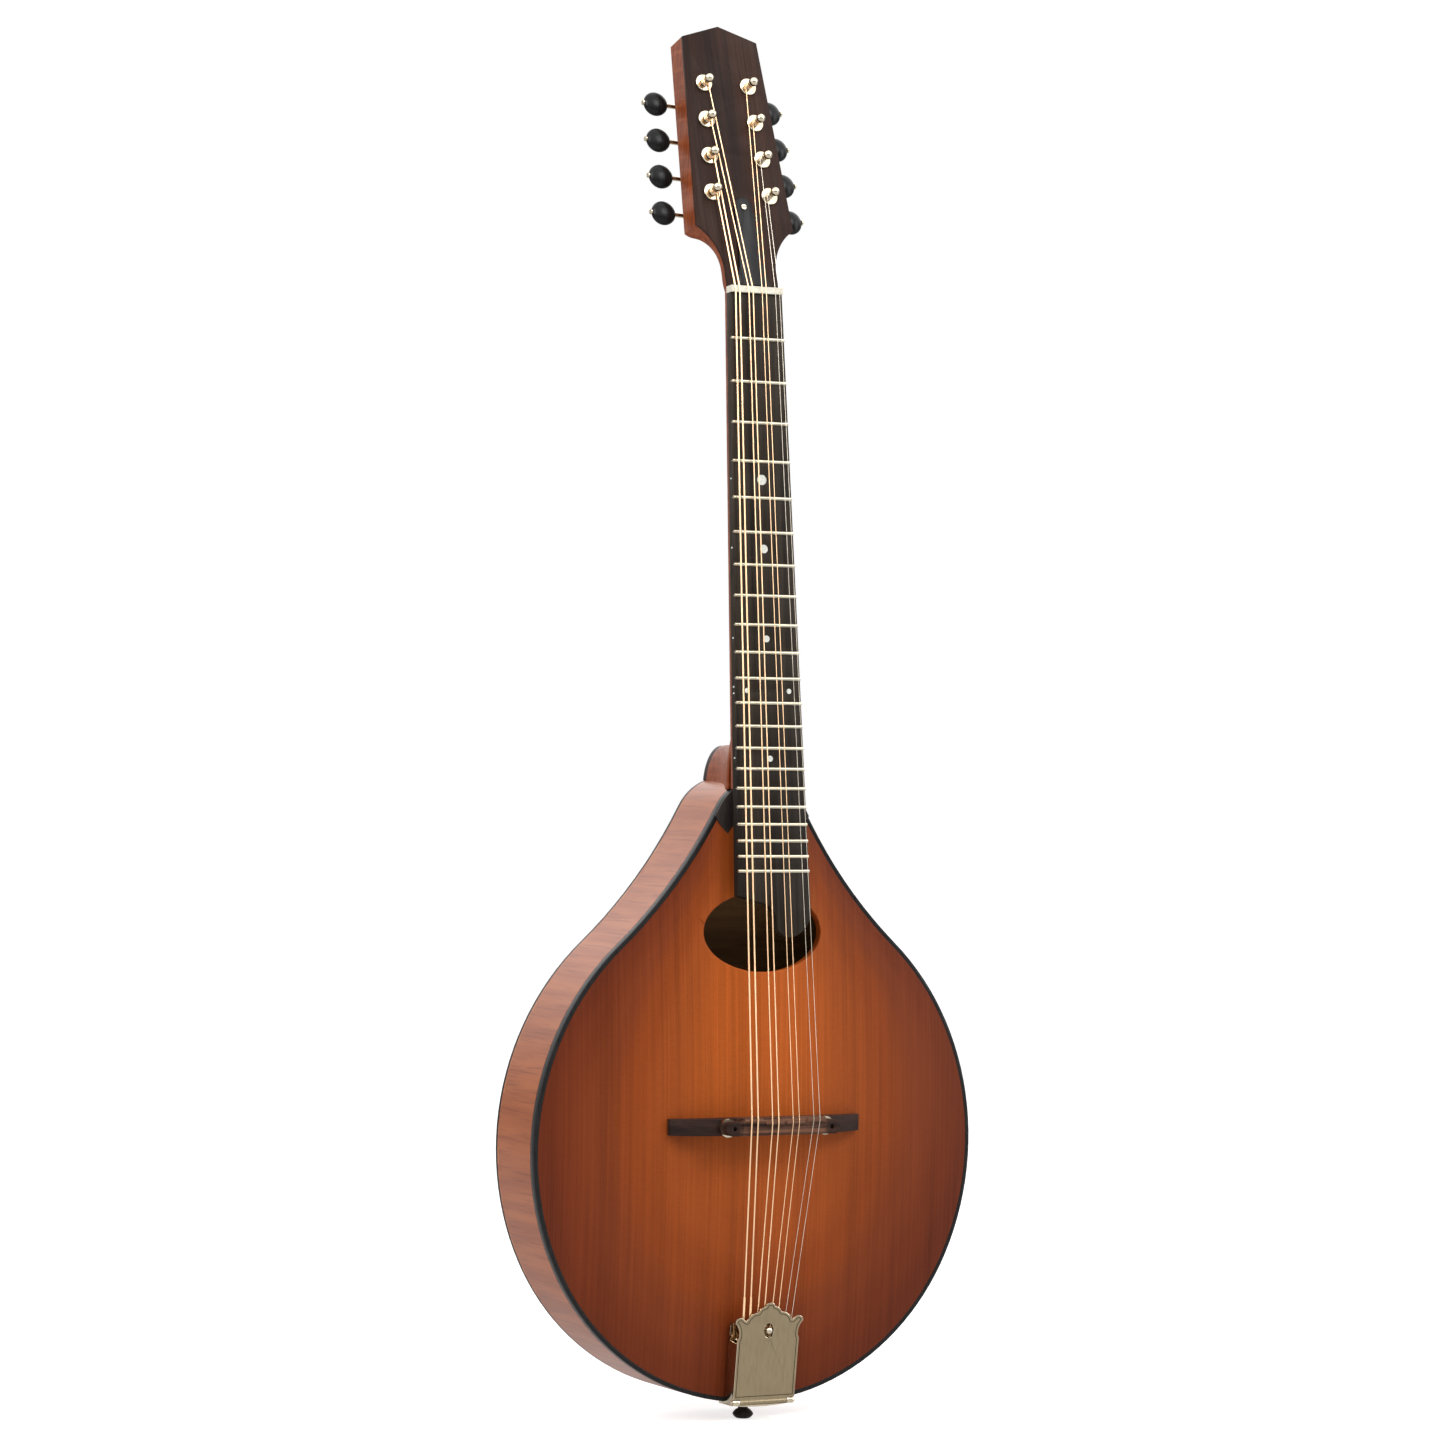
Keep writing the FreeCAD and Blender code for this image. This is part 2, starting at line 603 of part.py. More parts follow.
joint_distance = fret_distance(mm.joint_fret)
joint_up = mm.body_length - mm.joint_drop
nut_up = joint_up + joint_distance * cosine(mm.neck_angle)
nut_back = front - mm.neck_overstand + joint_distance * sine(mm.neck_angle)
neck_frame = Placement(Vector(0, nut_back, nut_up), Rotation(ACROSS, -mm.neck_angle))
head_frame = neck_frame * Placement(UP * mm.nut_length, Rotation(ACROSS, -mm.head_angle))
tail_frame = Placement(Vector(0, front - mm.tail_lift, mm.tail_seat), Rotation(ACROSS, mm.tail_lean))


def at(frame, across=0.0, back=0.0, up=0.0, rotation=None):
    """A place in one of the frames."""
    return frame * Placement(Vector(across, back, up), rotation or Rotation())


def along(direction):
    """The turn that lays a bar made along +Z in a direction."""
    return Rotation(UP, direction)


# Outline of the body


tail_radius = mm.body_length * mm.tail_radius_share
side_radius = mm.body_length * mm.side_radius_share
shoulder_radius = mm.body_length * mm.shoulder_radius_share
end_radius = mm.body_length * mm.end_radius_share


def outline_centres():
    """Centres of the treble side's arcs. The hollow one touches the side and the end."""
    tail_centre = Vector(0, 0, tail_radius)
    radial = Vector(sine(mm.tail_turn), 0, -cosine(mm.tail_turn))
    side_centre = tail_centre + radial * (tail_radius - side_radius)
    end_centre = Vector(0, 0, mm.body_length - end_radius)
    span = end_centre - side_centre
    to_side = side_radius + shoulder_radius
    to_end = end_radius + shoulder_radius
    foot = (span.Length ** 2 + to_side ** 2 - to_end ** 2) / (2 * span.Length)
    rise = math.sqrt(to_side ** 2 - foot ** 2)
    span.normalize()
    shoulder_centre = side_centre + span * foot + Vector(span.z, 0, -span.x) * rise
    return tail_centre, side_centre, shoulder_centre, end_centre


CENTRES = outline_centres()


def outline_arcs(inset):
    """Radii and meeting points of the treble side's arcs, at an inset."""
    tail_centre, side_centre, shoulder_centre, end_centre = CENTRES
    radii = (tail_radius - inset, side_radius - inset, shoulder_radius + inset, end_radius - inset)
    first = tail_centre + Vector(sine(mm.tail_turn), 0, -cosine(mm.tail_turn)) * radii[0]
    second = side_centre + (shoulder_centre - side_centre).normalize() * radii[1]
    third = end_centre + (shoulder_centre - end_centre).normalize() * radii[3]
    return radii, (first, second, third)


def arc_between(centre, radius, start, end):
    """The arc from start to end about a centre in the XZ plane."""
    middle = ((start - centre) + (end - centre)).normalize() * radius + centre
    return Part.Arc(start, middle, end).toShape()


def mirrored(point):
    return Vector(-point.x, point.y, point.z)


def outline_wire(inset, depth):
    """The body's closed outline at an inset from its edge, at a depth along Y."""
    radii, (first, second, third) = outline_arcs(inset)
    tail = Part.Arc(mirrored(first), Vector(0, 0, inset), first).toShape()
    side = arc_between(CENTRES[1], radii[1], first, second)
    shoulder = arc_between(CENTRES[2], radii[2], second, third)
    end = Part.Arc(third, Vector(0, 0, mm.body_length - inset), mirrored(third)).toShape()
    left_shoulder = arc_between(mirrored(CENTRES[2]), radii[2], mirrored(third), mirrored(second))
    left_side = arc_between(mirrored(CENTRES[1]), radii[1], mirrored(second), mirrored(first))
    wire = Part.Wire([tail, side, shoulder, end, left_shoulder, left_side])
    wire.translate(Vector(0, depth, 0))
    return wire


def slab(inset, near, far):
    """A flat plate with the body's outline, from one depth to another."""
    return Part.Face(outline_wire(inset, near)).extrude(Vector(0, far - near, 0))


def rim(outer, inner, near, far):
    """A band that follows the body's edge."""
    return slab(outer, near, far).cut(slab(inner, near, far))


def dome(inset, level, rise):
    """A flat-footed arch on the body's outline. A negative rise goes to the front."""
    foot = outline_wire(inset, 0.0)
    rings = []
    for share in DOME_SHARES:
        ring = foot.scaled(share, UP * mm.arch_centre)
        ring.translate(Vector(0, level + rise * (1 - share ** 2), 0))
        rings.append(ring)
    return Part.makeLoft(rings, True, False)


def block(left, right, near, far, low, high):
    """A plain block between named planes."""
    return Part.makeBox(right - left, far - near, high - low, Vector(left, near, low))


# Soundboard, back and ribs

top_inside = front + mm.top_edge
back_inside = rear - mm.back_edge
land = mm.rib_wall + mm.lining_width + mm.top_binding_width
top_hollow = dome(land, top_inside, mm.plate_middle - mm.top_edge - mm.top_arch)
back_hollow = dome(land, back_inside, mm.back_edge + mm.back_arch - mm.plate_middle)

hole_ring = Part.Ellipse(Vector(), mm.hole_width / 2, mm.hole_height / 2).toShape()
hole_cut = Part.Face(Part.Wire(hole_ring)).extrude(UP * (mm.body_depth + mm.top_arch + mm.overrun))
hole_cut.Placement = Placement(Vector(0, 0, mm.hole_centre), Rotation(ACROSS, 90))

top_blank = slab(mm.top_binding_width, front, top_inside)
top_blank = top_blank.fuse(dome(mm.top_binding_width, front, -mm.top_arch)).removeSplitter()
soundboard = node(feature("soundboard", top_blank.cut(top_hollow).cut(hole_cut)))

back_step = rear - mm.back_binding_height
back_blank = slab(0, back_inside, back_step)
back_blank = back_blank.fuse(slab(mm.back_binding_width, back_step, rear))
back_blank = back_blank.fuse(dome(mm.back_binding_width, rear, mm.back_arch)).removeSplitter()
back_plate = node(feature("back_plate", back_blank.cut(back_hollow)))

reach = side_radius + tail_radius
tall = mm.body_length + mm.overrun
tenon_front = top_inside + mm.overrun
mortise = block(-mm.tenon_width / 2 - mm.tenon_gap, mm.tenon_width / 2 + mm.tenon_gap,
                tenon_front - mm.tenon_gap, tenon_front + mm.tenon_depth + mm.tenon_gap,
                joint_up - mm.tenon_length - mm.tenon_gap, tall)
rib_ring = rim(0, mm.rib_wall, top_inside, back_inside).cut(mortise)
left_half = block(-reach, 0, front, rear, -mm.overrun, tall)
right_half = block(0, reach, front, rear, -mm.overrun, tall)
node(feature("rib_bass", rib_ring.common(left_half)))
node(feature("rib_treble", rib_ring.common(right_half)))
node(feature("top_binding", rim(0, mm.top_binding_width, front, top_inside)))
node(feature("back_binding", rim(0, mm.back_binding_width, back_step, rear)))

# Blocks, linings, bars and braces inside the body

inside = slab(mm.rib_wall + mm.slot_gap, top_inside, back_inside)
neck_block_foot = joint_up - mm.neck_block_length
neck_block_blank = inside.common(block(-reach, reach, front, rear, neck_block_foot, tall))
node(feature("neck_block", neck_block_blank.cut(mortise)))

tail_box = block(-mm.tail_block_width / 2, mm.tail_block_width / 2, front, rear,
                 0, mm.tail_block_length)
tail_block_blank = inside.common(tail_box)


def lining_strip(near, far, half):
    """A lining between the blocks, on one side of the body."""
    strip = rim(mm.rib_wall, mm.rib_wall + mm.lining_width, near, far).common(half)
    strip = strip.cut(block(-reach, reach, front, rear, neck_block_foot - mm.seat_gap, tall))
    strip = strip.cut(block(-mm.tail_block_width / 2 - mm.seat_gap,
                            mm.tail_block_width / 2 + mm.seat_gap, front, rear, 0, joint_up / 4))
    return strip


linings = []
for name, half in (("bass", left_half), ("treble", right_half)):
    front_strip = lining_strip(top_inside, top_inside + mm.lining_height, half)
    rear_strip = lining_strip(back_inside - mm.lining_height, back_inside, half)
    linings.append(feature(f"front_lining_{name}", front_strip))
    linings.append(feature(f"rear_lining_{name}", rear_strip))
node(group("linings", linings))

top_cavity = top_hollow.fuse(slab(land, top_inside, 0))
top_cavity.translate(BACK * mm.glue_gap)
bars = []
for name, side in (("bass", -1), ("treble", 1)):
    bar = block(-mm.tone_bar_width / 2, mm.tone_bar_width / 2,
                front - mm.top_arch, front - mm.top_arch + mm.plate_middle + mm.tone_bar_height,
                -mm.tone_bar_length / 2, mm.tone_bar_length / 2)
    lean = Rotation(BACK, -side * mm.tone_bar_turn)
    bar.Placement = Placement(Vector(side * mm.tone_bar_apart / 2, 0, mm.tone_bar_centre), lean)
    bars.append(feature(f"tone_bar_{name}", bar.common(top_cavity)))
node(group("tone_bars", bars))

back_cavity = back_hollow.fuse(slab(land, 0, back_inside))
back_cavity.translate(-BACK * mm.glue_gap)
braces = []
for number in range(BACK_BRACES):
    low = mm.brace_first + number * mm.brace_step
    ridge = rear + mm.back_arch - mm.plate_middle - mm.brace_height
    brace = block(-reach, reach, ridge, rear + mm.back_arch, low, low + mm.brace_width)
    lining_room = rim(mm.rib_wall, land, front, rear)
    braces.append(feature(f"back_brace_{number + 1}", brace.common(back_cavity).cut(lining_room)))
node(group("back_braces", braces))

# Neck with its heel and peghead, and the heel cap


def half_round(half_width, depth):
    """A flat line with half an ellipse behind it, as a closed wire."""
    pieces = [
        Part.makeLine(Vector(-1, 0, 0), Vector(1, 0, 0)),
        Part.makeCircle(1, Vector(), UP, 0, 90),
        Part.makeCircle(1, Vector(), UP, 90, 180),
    ]
    stretch = FreeCAD.Matrix()
    stretch.scale(half_width, depth, 1)
    return Part.Wire(Part.Wire(pieces).transformGeometry(stretch).Edges)


def neck_half(distance):
    return board_half(distance) - mm.neck_side_inset


shaft_end = joint_distance + mm.overrun
shaft_sections = []
for distance, depth in ((-mm.nut_length, mm.neck_depth_nut), (shaft_end, mm.neck_depth_heel)):
    section = half_round(neck_half(max(distance, 0)), depth)
    section.Placement = at(neck_frame, up=-distance)
    shaft_sections.append(section)
shaft = Part.makeLoft(shaft_sections, True, True)

# The heel's sections lie in level planes: a share of the way from the cap to the neck's
# surface, of the width at the joint, and the length up the neck in heel lengths.
heel_cap_back = back_inside
heel_front = front - mm.neck_overstand + mm.neck_depth_heel / 2
HEEL_SHARES = ((0.0, 0.55, 1.0), (0.3, 0.58, 1.02), (0.55, 0.66, 1.16), (0.75, 0.8, 1.57), (1.0, 0.96, 2.8))
heel_sections = []
for depth_share, width_share, length_share in HEEL_SHARES:
    width = neck_half(joint_distance) * width_share
    section = half_round(width, mm.heel_length * length_share)
    depth = heel_cap_back + (heel_front - heel_cap_back) * depth_share
    section.Placement = Placement(Vector(0, depth, joint_up), Rotation(ACROSS, 90))
    heel_sections.append(section)
heel = Part.makeLoft(heel_sections, True, False)


def head_outline(foot):
    """Corners of the peghead in its own frame, treble side first."""
    return [
        (-mm.nut_width / 2, foot),
        (mm.nut_width / 2, foot),
        (mm.nut_width / 2, mm.head_flare_start),
        (mm.head_corner_width / 2, mm.head_corner, -mm.head_flare_round),
        (mm.head_top_width / 2, mm.head_top),
        (0.0, mm.head_peak),
        (-mm.head_top_width / 2, mm.head_top),
        (-mm.head_corner_width / 2, mm.head_corner),
        (-mm.nut_width / 2, mm.head_flare_start, -mm.head_flare_round),
    ]


peghead_blank = part_body("peghead_blank", head_frame)
head_sketch = sketch(peghead_blank, "peghead_outline", "XZ_Plane", [head_outline(0.0)])
pad(peghead_blank, head_sketch, mm.head_thickness, back=True)

# The peghead's foot is rounded behind: a share of the way up to its lower corners, of its half
# width there, and of its thickness.
FOOT_SHARES = ((0.0, 0.53, 0.93), (0.4, 0.55, 0.94), (0.6, 0.62, 0.97), (0.75, 0.76, 1.02),
               (0.88, 1.07, 1.1), (1.0, 1.6, 1.3))
foot_sections = []
for up_share, width_share, depth_share in FOOT_SHARES:
    section = half_round(mm.head_corner_width / 2 * width_share, mm.head_thickness * depth_share)
    section.Placement = at(head_frame, up=mm.head_corner * up_share)
    foot_sections.append(section)
head_room = Part.makeBox(mm.head_corner_width, mm.head_thickness, mm.head_peak - mm.head_corner)
head_room.Placement = at(head_frame, -mm.head_corner_width / 2, 0, mm.head_corner)
head_room = head_room.fuse(Part.makeLoft(foot_sections, True, False))
doc.recompute()
peghead_wood = peghead_blank.Shape.common(head_room)

tenon = block(-mm.tenon_width / 2, mm.tenon_width / 2, tenon_front, tenon_front + mm.tenon_depth,
              joint_up - mm.tenon_length, tall)
body_front = front - mm.glue_gap
arch_room = top_blank.copy()
arch_room.translate(BACK * -mm.glue_gap)
body_room = slab(-mm.glue_gap, body_front, rear + mm.overrun)
body_room = body_room.fuse(block(-reach, reach, -reach, body_front, -reach, joint_up))
neck_wood = shaft.fuse(heel).cut(body_room).cut(arch_room).fuse(peghead_wood).fuse(tenon)

# Tuner places: two columns that run along the peghead's edges

edge_run = mm.head_top - mm.head_corner
edge_drift = (mm.head_corner_width - mm.head_top_width) / 2
column_lean = math.degrees(math.atan2(edge_drift, edge_run))


def column_frame(side):
    """Frame of a column of posts: origin at the lowest post, +Z up the column."""
    share = (mm.tuner_first - mm.head_corner) / edge_run
    across = (mm.head_corner_width / 2 - edge_drift * share) - mm.post_inset / cosine(column_lean)
    lean = Rotation(BACK, -side * column_lean)
    return head_frame * Placement(Vector(side * across, 0, mm.tuner_first), lean)


# Posts 1 to 4 go up the bass side, posts 5 to 8 up the treble side.
post_places = []
for side in (-1, 1):
    for row in range(POSTS_A_SIDE):
        post_places.append((side, column_frame(side) * Placement(UP * (row * mm.tuner_step), Rotation())))

worm_back = mm.head_thickness + mm.gear_lift
plate_back = mm.head_thickness + mm.plate_thickness
screw_places = []
for side, place in post_places:
    for across, up in ((-side * mm.tuner_plate_width / 3, mm.plate_above - mm.small_screw_head),
                       (0.0, mm.small_screw_head - mm.plate_below)):
        screw_places.append(place * Placement(Vector(across, plate_back, up), Rotation(ACROSS, 90)))

post_bores = []
for side, place in post_places:
    bore = Part.makeCylinder(mm.sleeve_radius + mm.slot_gap, mm.head_thickness + 2 * mm.overrun)
    bore.Placement = place * Placement(BACK * -mm.overrun, Rotation(ACROSS, -90))
    post_bores.append(bore)
screw_bores = []
for place in screw_places:
    bore = Part.makeCylinder(mm.small_screw_shank + mm.slot_gap, mm.small_screw_length + mm.slot_gap)
    bore.Placement = place
    screw_bores.append(bore)
cover_screw_place = at(head_frame, 0, -mm.overlay_thickness - mm.cover_thickness, mm.cover_screw_place,
                       Rotation(ACROSS, -90))
cover_bore = Part.makeCylinder(mm.small_screw_shank + mm.slot_gap, mm.small_screw_length + mm.slot_gap)
cover_bore.Placement = cover_screw_place

rod_half = mm.rod_radius + mm.rod_gap
channel = Part.makeBox(2 * rod_half, mm.rod_depth + rod_half, mm.rod_length + mm.nut_length)
channel.Placement = at(neck_frame, -rod_half, 0, -mm.rod_length)
rod_pocket = Part.makeBox(mm.rod_pocket_width, mm.rod_pocket_depth + mm.overrun, mm.rod_pocket_length)
rod_pocket.Placement = at(head_frame, -mm.rod_pocket_width / 2, -mm.overrun, 0)
neck_wood = neck_wood.cut(Part.makeCompound([channel, rod_pocket]))
neck_wood = neck_wood.cut(Part.makeCompound(post_bores))
neck_wood = neck_wood.cut(Part.makeCompound(screw_bores + [cover_bore]))
node(feature("neck", neck_wood))

cap_outline = half_round(neck_half(joint_distance) * HEEL_SHARES[0][1], mm.heel_length)
cap_outline.Placement = Placement(Vector(0, back_inside, joint_up), Rotation(ACROSS, 90))
cap_blank = Part.Face(cap_outline).extrude(BACK * mm.back_edge)
node(feature("heel_cap", cap_blank.cut(slab(-mm.glue_gap, body_front, rear + mm.overrun))))

# Truss rod, its nut and its cover

truss_rod = cylinder("truss_rod", mm.rod_radius, mm.rod_length + mm.nut_length,
                     at(neck_frame, 0, mm.rod_depth, -mm.rod_length))
node(truss_rod)
rod_nut_bar = cylinder("rod_nut_bar", mm.rod_nut_radius, mm.rod_nut_length,
                       at(neck_frame, 0, mm.rod_depth, mm.nut_length + mm.running_gap))
rod_nut_socket = doc.addObject("Part::Prism", "rod_nut_socket")
bind(rod_nut_socket, Circumradius=mm.rod_nut_socket, Height=mm.rod_nut_length)
rod_nut_socket.Placement = at(neck_frame, 0, mm.rod_depth, mm.nut_length + mm.rod_nut_length / 2)
node(cut("truss_rod_nut", rod_nut_bar, rod_nut_socket))

overlay = part_body("peghead_overlay", head_frame)
overlay_sketch = sketch(overlay, "overlay_outline", "XZ_Plane", [head_outline(mm.cover_foot * 0.5)])
pad(overlay, overlay_sketch, mm.overlay_thickness)
window = sketch(overlay, "rod_window", "XZ_Plane", [[
    (-mm.rod_pocket_width / 2, mm.cover_foot * 2),
    (mm.rod_pocket_width / 2, mm.cover_foot * 2),
    (mm.rod_pocket_width / 2, mm.rod_pocket_length),
    (-mm.rod_pocket_width / 2, mm.rod_pocket_length),
]], lift=mm.overlay_thickness)
pocket(overlay, window, mm.overlay_thickness)
overlay_tools = feature("overlay_bores", Part.makeCompound(post_bores + [cover_bore]))
doc.recompute()
node(cut("peghead_face", overlay, overlay_tools), "peghead_overlay")

rod_cover = part_body("rod_cover_blank", head_frame)
waist_up = mm.cover_foot + (mm.cover_screw_place - mm.cover_foot) * mm.cover_waist_share
rod_cover_sketch = sketch(rod_cover, "rod_cover_outline", "XZ_Plane", [[
    (-mm.cover_foot_width / 2, mm.cover_foot, mm.cover_screw_place * -2),
    (mm.cover_foot_width / 2, mm.cover_foot),
    (mm.cover_waist_width / 2, waist_up, mm.cover_screw_place * -2),
    (mm.cover_top_round, mm.cover_screw_place),
    (0.0, mm.cover_screw_place + mm.cover_top_round, mm.cover_top_round),
    (-mm.cover_top_round, mm.cover_screw_place, mm.cover_top_round),
    (-mm.cover_waist_width / 2, waist_up),
]], lift=mm.overlay_thickness)
pad(rod_cover, rod_cover_sketch, mm.cover_thickness)
doc.recompute()
node(cut("truss_rod_cover", rod_cover, feature("rod_cover_bore", cover_bore)))

# Fingerboard, frets and dots

board = part_body("fingerboard_blank", neck_frame)
board_sketch = sketch(board, "board_outline", "XZ_Plane", [[
    (-board_half(mm.bass_end), -mm.bass_end),
    (-mm.nut_width / 2, 0.0),
    (mm.nut_width / 2, 0.0),
    (board_half(mm.tongue_edge), -mm.tongue_edge),
    (mm.tongue_end_out, -mm.tongue_end, -mm.tongue_outer_round),
    (mm.tongue_waist_out, -mm.tongue_waist, -mm.tongue_inner_round),
    (-mm.tongue_shoulder_in, -mm.tongue_shoulder, mm.tongue_hollow),
]])
pad(board, board_sketch, mm.board_thickness)
slots = []
for number in range(1, FRETS + 1):
    place = fret_distance(number)
    slot_half = mm.tang_width / 2 + mm.slot_gap
    slots.append([
        (-mm.last_fret_width, -place - slot_half),
        (mm.last_fret_width, -place - slot_half),
        (mm.last_fret_width, -place + slot_half),
        (-mm.last_fret_width, -place + slot_half),
    ])
slot_sketch = sketch(board, "fret_slots", "XZ_Plane", slots, lift=mm.board_thickness)
pocket(board, slot_sketch, mm.tang_depth + mm.slot_gap)


def between_frets(number):
    """Distance from the nut to the middle of the space behind a fret."""
    return (fret_distance(number - 1) + fret_distance(number)) / 2


SINGLE_DOTS = {5: mm.fifth_dot, 7: mm.seventh_dot, 10: mm.tenth_dot, 15: mm.fifteenth_dot}
dot_places = []
for number, diameter in SINGLE_DOTS.items():
    dot_places.append((number, 0.0, diameter))
for side in (-1, 1):
    dot_places.append((DOUBLE_DOT, side * mm.double_dot_apart / 2, mm.twelfth_dot))
dot_circles = []
dots = []
for count, (number, across, diameter) in enumerate(dot_places, start=1):
    radius = diameter / 2
    down = between_frets(number)
    dot_circles.append((across, -down, radius + mm.slot_gap))
    spot = at(neck_frame, across, -mm.board_thickness, -down, Rotation(ACROSS, -90))
    dots.append(cylinder(f"dot_{count}", radius, mm.dot_depth, spot))
dot_sketch = sketch(board, "dot_bores", "XZ_Plane", circles=dot_circles, lift=mm.board_thickness)
pocket(board, dot_sketch, mm.dot_depth + mm.slot_gap)
node(group("position_dots", dots))

side_dots = []
side_bores = []
side_marks = [(number, 0.0) for number in SINGLE_DOTS]
side_marks += [(DOUBLE_DOT, -mm.side_dot_size), (DOUBLE_DOT, mm.side_dot_size)]
for count, (number, shift) in enumerate(side_marks, start=1):
    down = between_frets(number) + shift
    edge = -board_half(down) + mm.slot_gap
    spot = at(neck_frame, edge, -mm.board_thickness / 2, -down, Rotation(BACK, 90))
    side_dots.append(cylinder(f"side_dot_{count}", mm.side_dot_size / 2, mm.dot_depth, spot))
    bore = Part.makeCylinder(mm.side_dot_size / 2 + mm.slot_gap, mm.dot_depth + 2 * mm.slot_gap)
    bore.Placement = at(neck_frame, edge - mm.slot_gap, -mm.board_thickness / 2, -down,
                        Rotation(BACK, 90))
    side_bores.append(bore)
doc.recompute()
node(group("side_dots", side_dots))
node(cut("fingerboard", board, feature("side_dot_bores", Part.makeCompound(side_bores))))

frets = []
flip = Rotation(ACROSS, 180) * Rotation(BACK, 90)
for number in range(1, FRETS + 1):
    down = fret_distance(number)
    half_width = board_half(down)
    crown = cylinder(f"fret_crown_{number}", mm.fret_crown / 2, half_width * 2,
                     at(neck_frame, -half_width, -mm.board_thickness, -down, flip))
    crown.Angle = 180
    tang = box(f"fret_tang_{number}", (half_width * 2, mm.tang_depth, mm.tang_width),
               at(neck_frame, -half_width, -mm.board_thickness, -down - mm.tang_width / 2))
    frets.append(fuse(f"fret_{number}", crown, tang))
node(group("frets", frets))

riser_blank = Part.makeBox(mm.riser_width, mm.riser_reach, mm.riser_length)
riser_blank.Placement = at(neck_frame, -mm.riser_width / 2, 0, -joint_distance - mm.riser_length)
seat_tool = soundboard.Shape.copy()
seat_tool.translate(BACK * -mm.glue_gap)
riser = riser_blank.cut(seat_tool).cut(block(-reach, reach, -reach, reach, joint_up, nut_up))
node(feature("fingerboard_riser", riser))

caps = []
for name, side in (("bass", -1), ("treble", 1)):
    cap = slab(mm.seat_gap, front - mm.cap_thickness, front)
    round_cut = Part.makeCylinder(mm.cap_round, mm.body_depth, Vector(), BACK)
    round_cut.translate(Vector(0, -mm.body_depth, joint_up))
    cap = cap.common(round_cut)
    inner = mm.riser_width / 2 + mm.seat_gap
    top_end = joint_up - mm.seat_gap
    keep = block(inner, reach, -reach, reach, 0, top_end)
    if side < 0:
        keep = block(-reach, -inner, -reach, reach, 0, top_end)
    caps.append(feature(f"top_cap_{name}", cap.common(keep).cut(seat_tool)))
node(group("top_caps", caps))

# Places of the strings at the nut, the saddle and the hooks

COURSES = ("g", "d", "a", "e")
CREST_SHIFTS = {"g": mm.crest_g, "d": mm.crest_d, "a": mm.crest_a, "e": mm.crest_e}
GAUGES = {"g": mm.gauge_g, "d": mm.gauge_d, "a": mm.gauge_a, "e": mm.gauge_e}
frets_front = mm.board_thickness + mm.fret_crown / 2


def spread(index, span, pair):
    """Place across of a string, 0 to 7 from bass to treble."""
    course, second = divmod(index, 2)
    middle = (span - pair) * (course / 3 - 0.5)
    return middle + pair * (second - 0.5)


saddle_middle = neck_frame.multVec(
    Vector(0, -frets_front - mm.saddle_action, -mm.scale_length - mm.compensation))
crest_top = saddle_middle.y
bridge_up = saddle_middle.z - mm.saddle_lead

# Bridge

bridge_frame = Placement(Vector(0, 0, bridge_up), Rotation())
base_blank = part_body("bridge_base_blank", bridge_frame * Placement(UP * (-mm.base_width / 2), Rotation()))
flat_half = mm.base_flat / 2
wing = flat_half + mm.base_shoulder
wing_front = front - mm.base_middle + mm.base_shoulder_drop
base_sketch = sketch(base_blank, "base_outline", "XY_Plane", [[
    (-mm.base_length / 2, front),
    (mm.base_length / 2, front),
    (mm.base_length / 2, front - mm.base_end),
    (wing, wing_front, -mm.base_wing_round),
    (flat_half, front - mm.base_middle),
    (-flat_half, front - mm.base_middle),
    (-wing, wing_front),
    (-mm.base_length / 2, front - mm.base_end, -mm.base_wing_round),
]])
pad(base_blank, base_sketch, mm.base_width)
arch_tool = dome(mm.top_binding_width, front, -mm.top_arch)
arch_tool = arch_tool.fuse(slab(mm.top_binding_width, front, top_inside))
arch_tool.translate(BACK * -mm.seat_gap)
stud_bores = []
for side in (-1, 1):
    bore = Part.makeCylinder(mm.stud_radius + mm.stud_gap, mm.stud_sink + mm.stud_gap)
    bore.Placement = at(bridge_frame, side * mm.stud_apart / 2, front - mm.base_middle, 0,
                        Rotation(ACROSS, -90))
    stud_bores.append(bore)
base_tools = feature("base_tools", Part.makeCompound([arch_tool] + stud_bores))
doc.recompute()
node(cut("bridge_base", base_blank, base_tools))

base_front = front - mm.base_middle
studs = []
for name, side in (("bass", -1), ("treble", 1)):
    spot = at(bridge_frame, side * mm.stud_apart / 2, base_front + mm.stud_sink, 0,
              Rotation(ACROSS, 90))
    studs.append(cylinder(f"stud_{name}", mm.stud_radius, mm.stud_sink + mm.stud_rise, spot))
node(group("bridge_studs", studs))

wheel_back = base_front - mm.wheel_room
for name, side in (("bass", -1), ("treble", 1)):
    wheel = part_body(f"thumbwheel_{name}", at(bridge_frame, side * mm.stud_apart / 2, wheel_back, 0))
    disc = sketch(wheel, f"wheel_{name}_disc", "XZ_Plane", circles=[
        (0.0, 0.0, mm.wheel_radius),
        (0.0, 0.0, mm.stud_radius + mm.stud_gap),
    ])
    pad(wheel, disc, mm.wheel_thickness)
    notch = sketch(wheel, f"wheel_{name}_notch", "XZ_Plane", [[
        (-mm.wheel_knurl, mm.wheel_radius + mm.wheel_knurl),
        (0.0, mm.wheel_radius - mm.wheel_knurl),
        (mm.wheel_knurl, mm.wheel_radius + mm.wheel_knurl),
    ]], lift=mm.wheel_thickness)
    first_notch = pocket(wheel, notch, mm.wheel_thickness)
    knurl = wheel.newObject("PartDesign::PolarPattern", f"wheel_{name}_knurl")
    knurl.Originals = [first_notch]
    knurl.Axis = (notch, ["N_Axis"])
    knurl.Angle = 360
    knurl.Occurrences = KNURL_NOTCHES
    wheel.Tip = knurl
    doc.recompute()
    node(wheel)

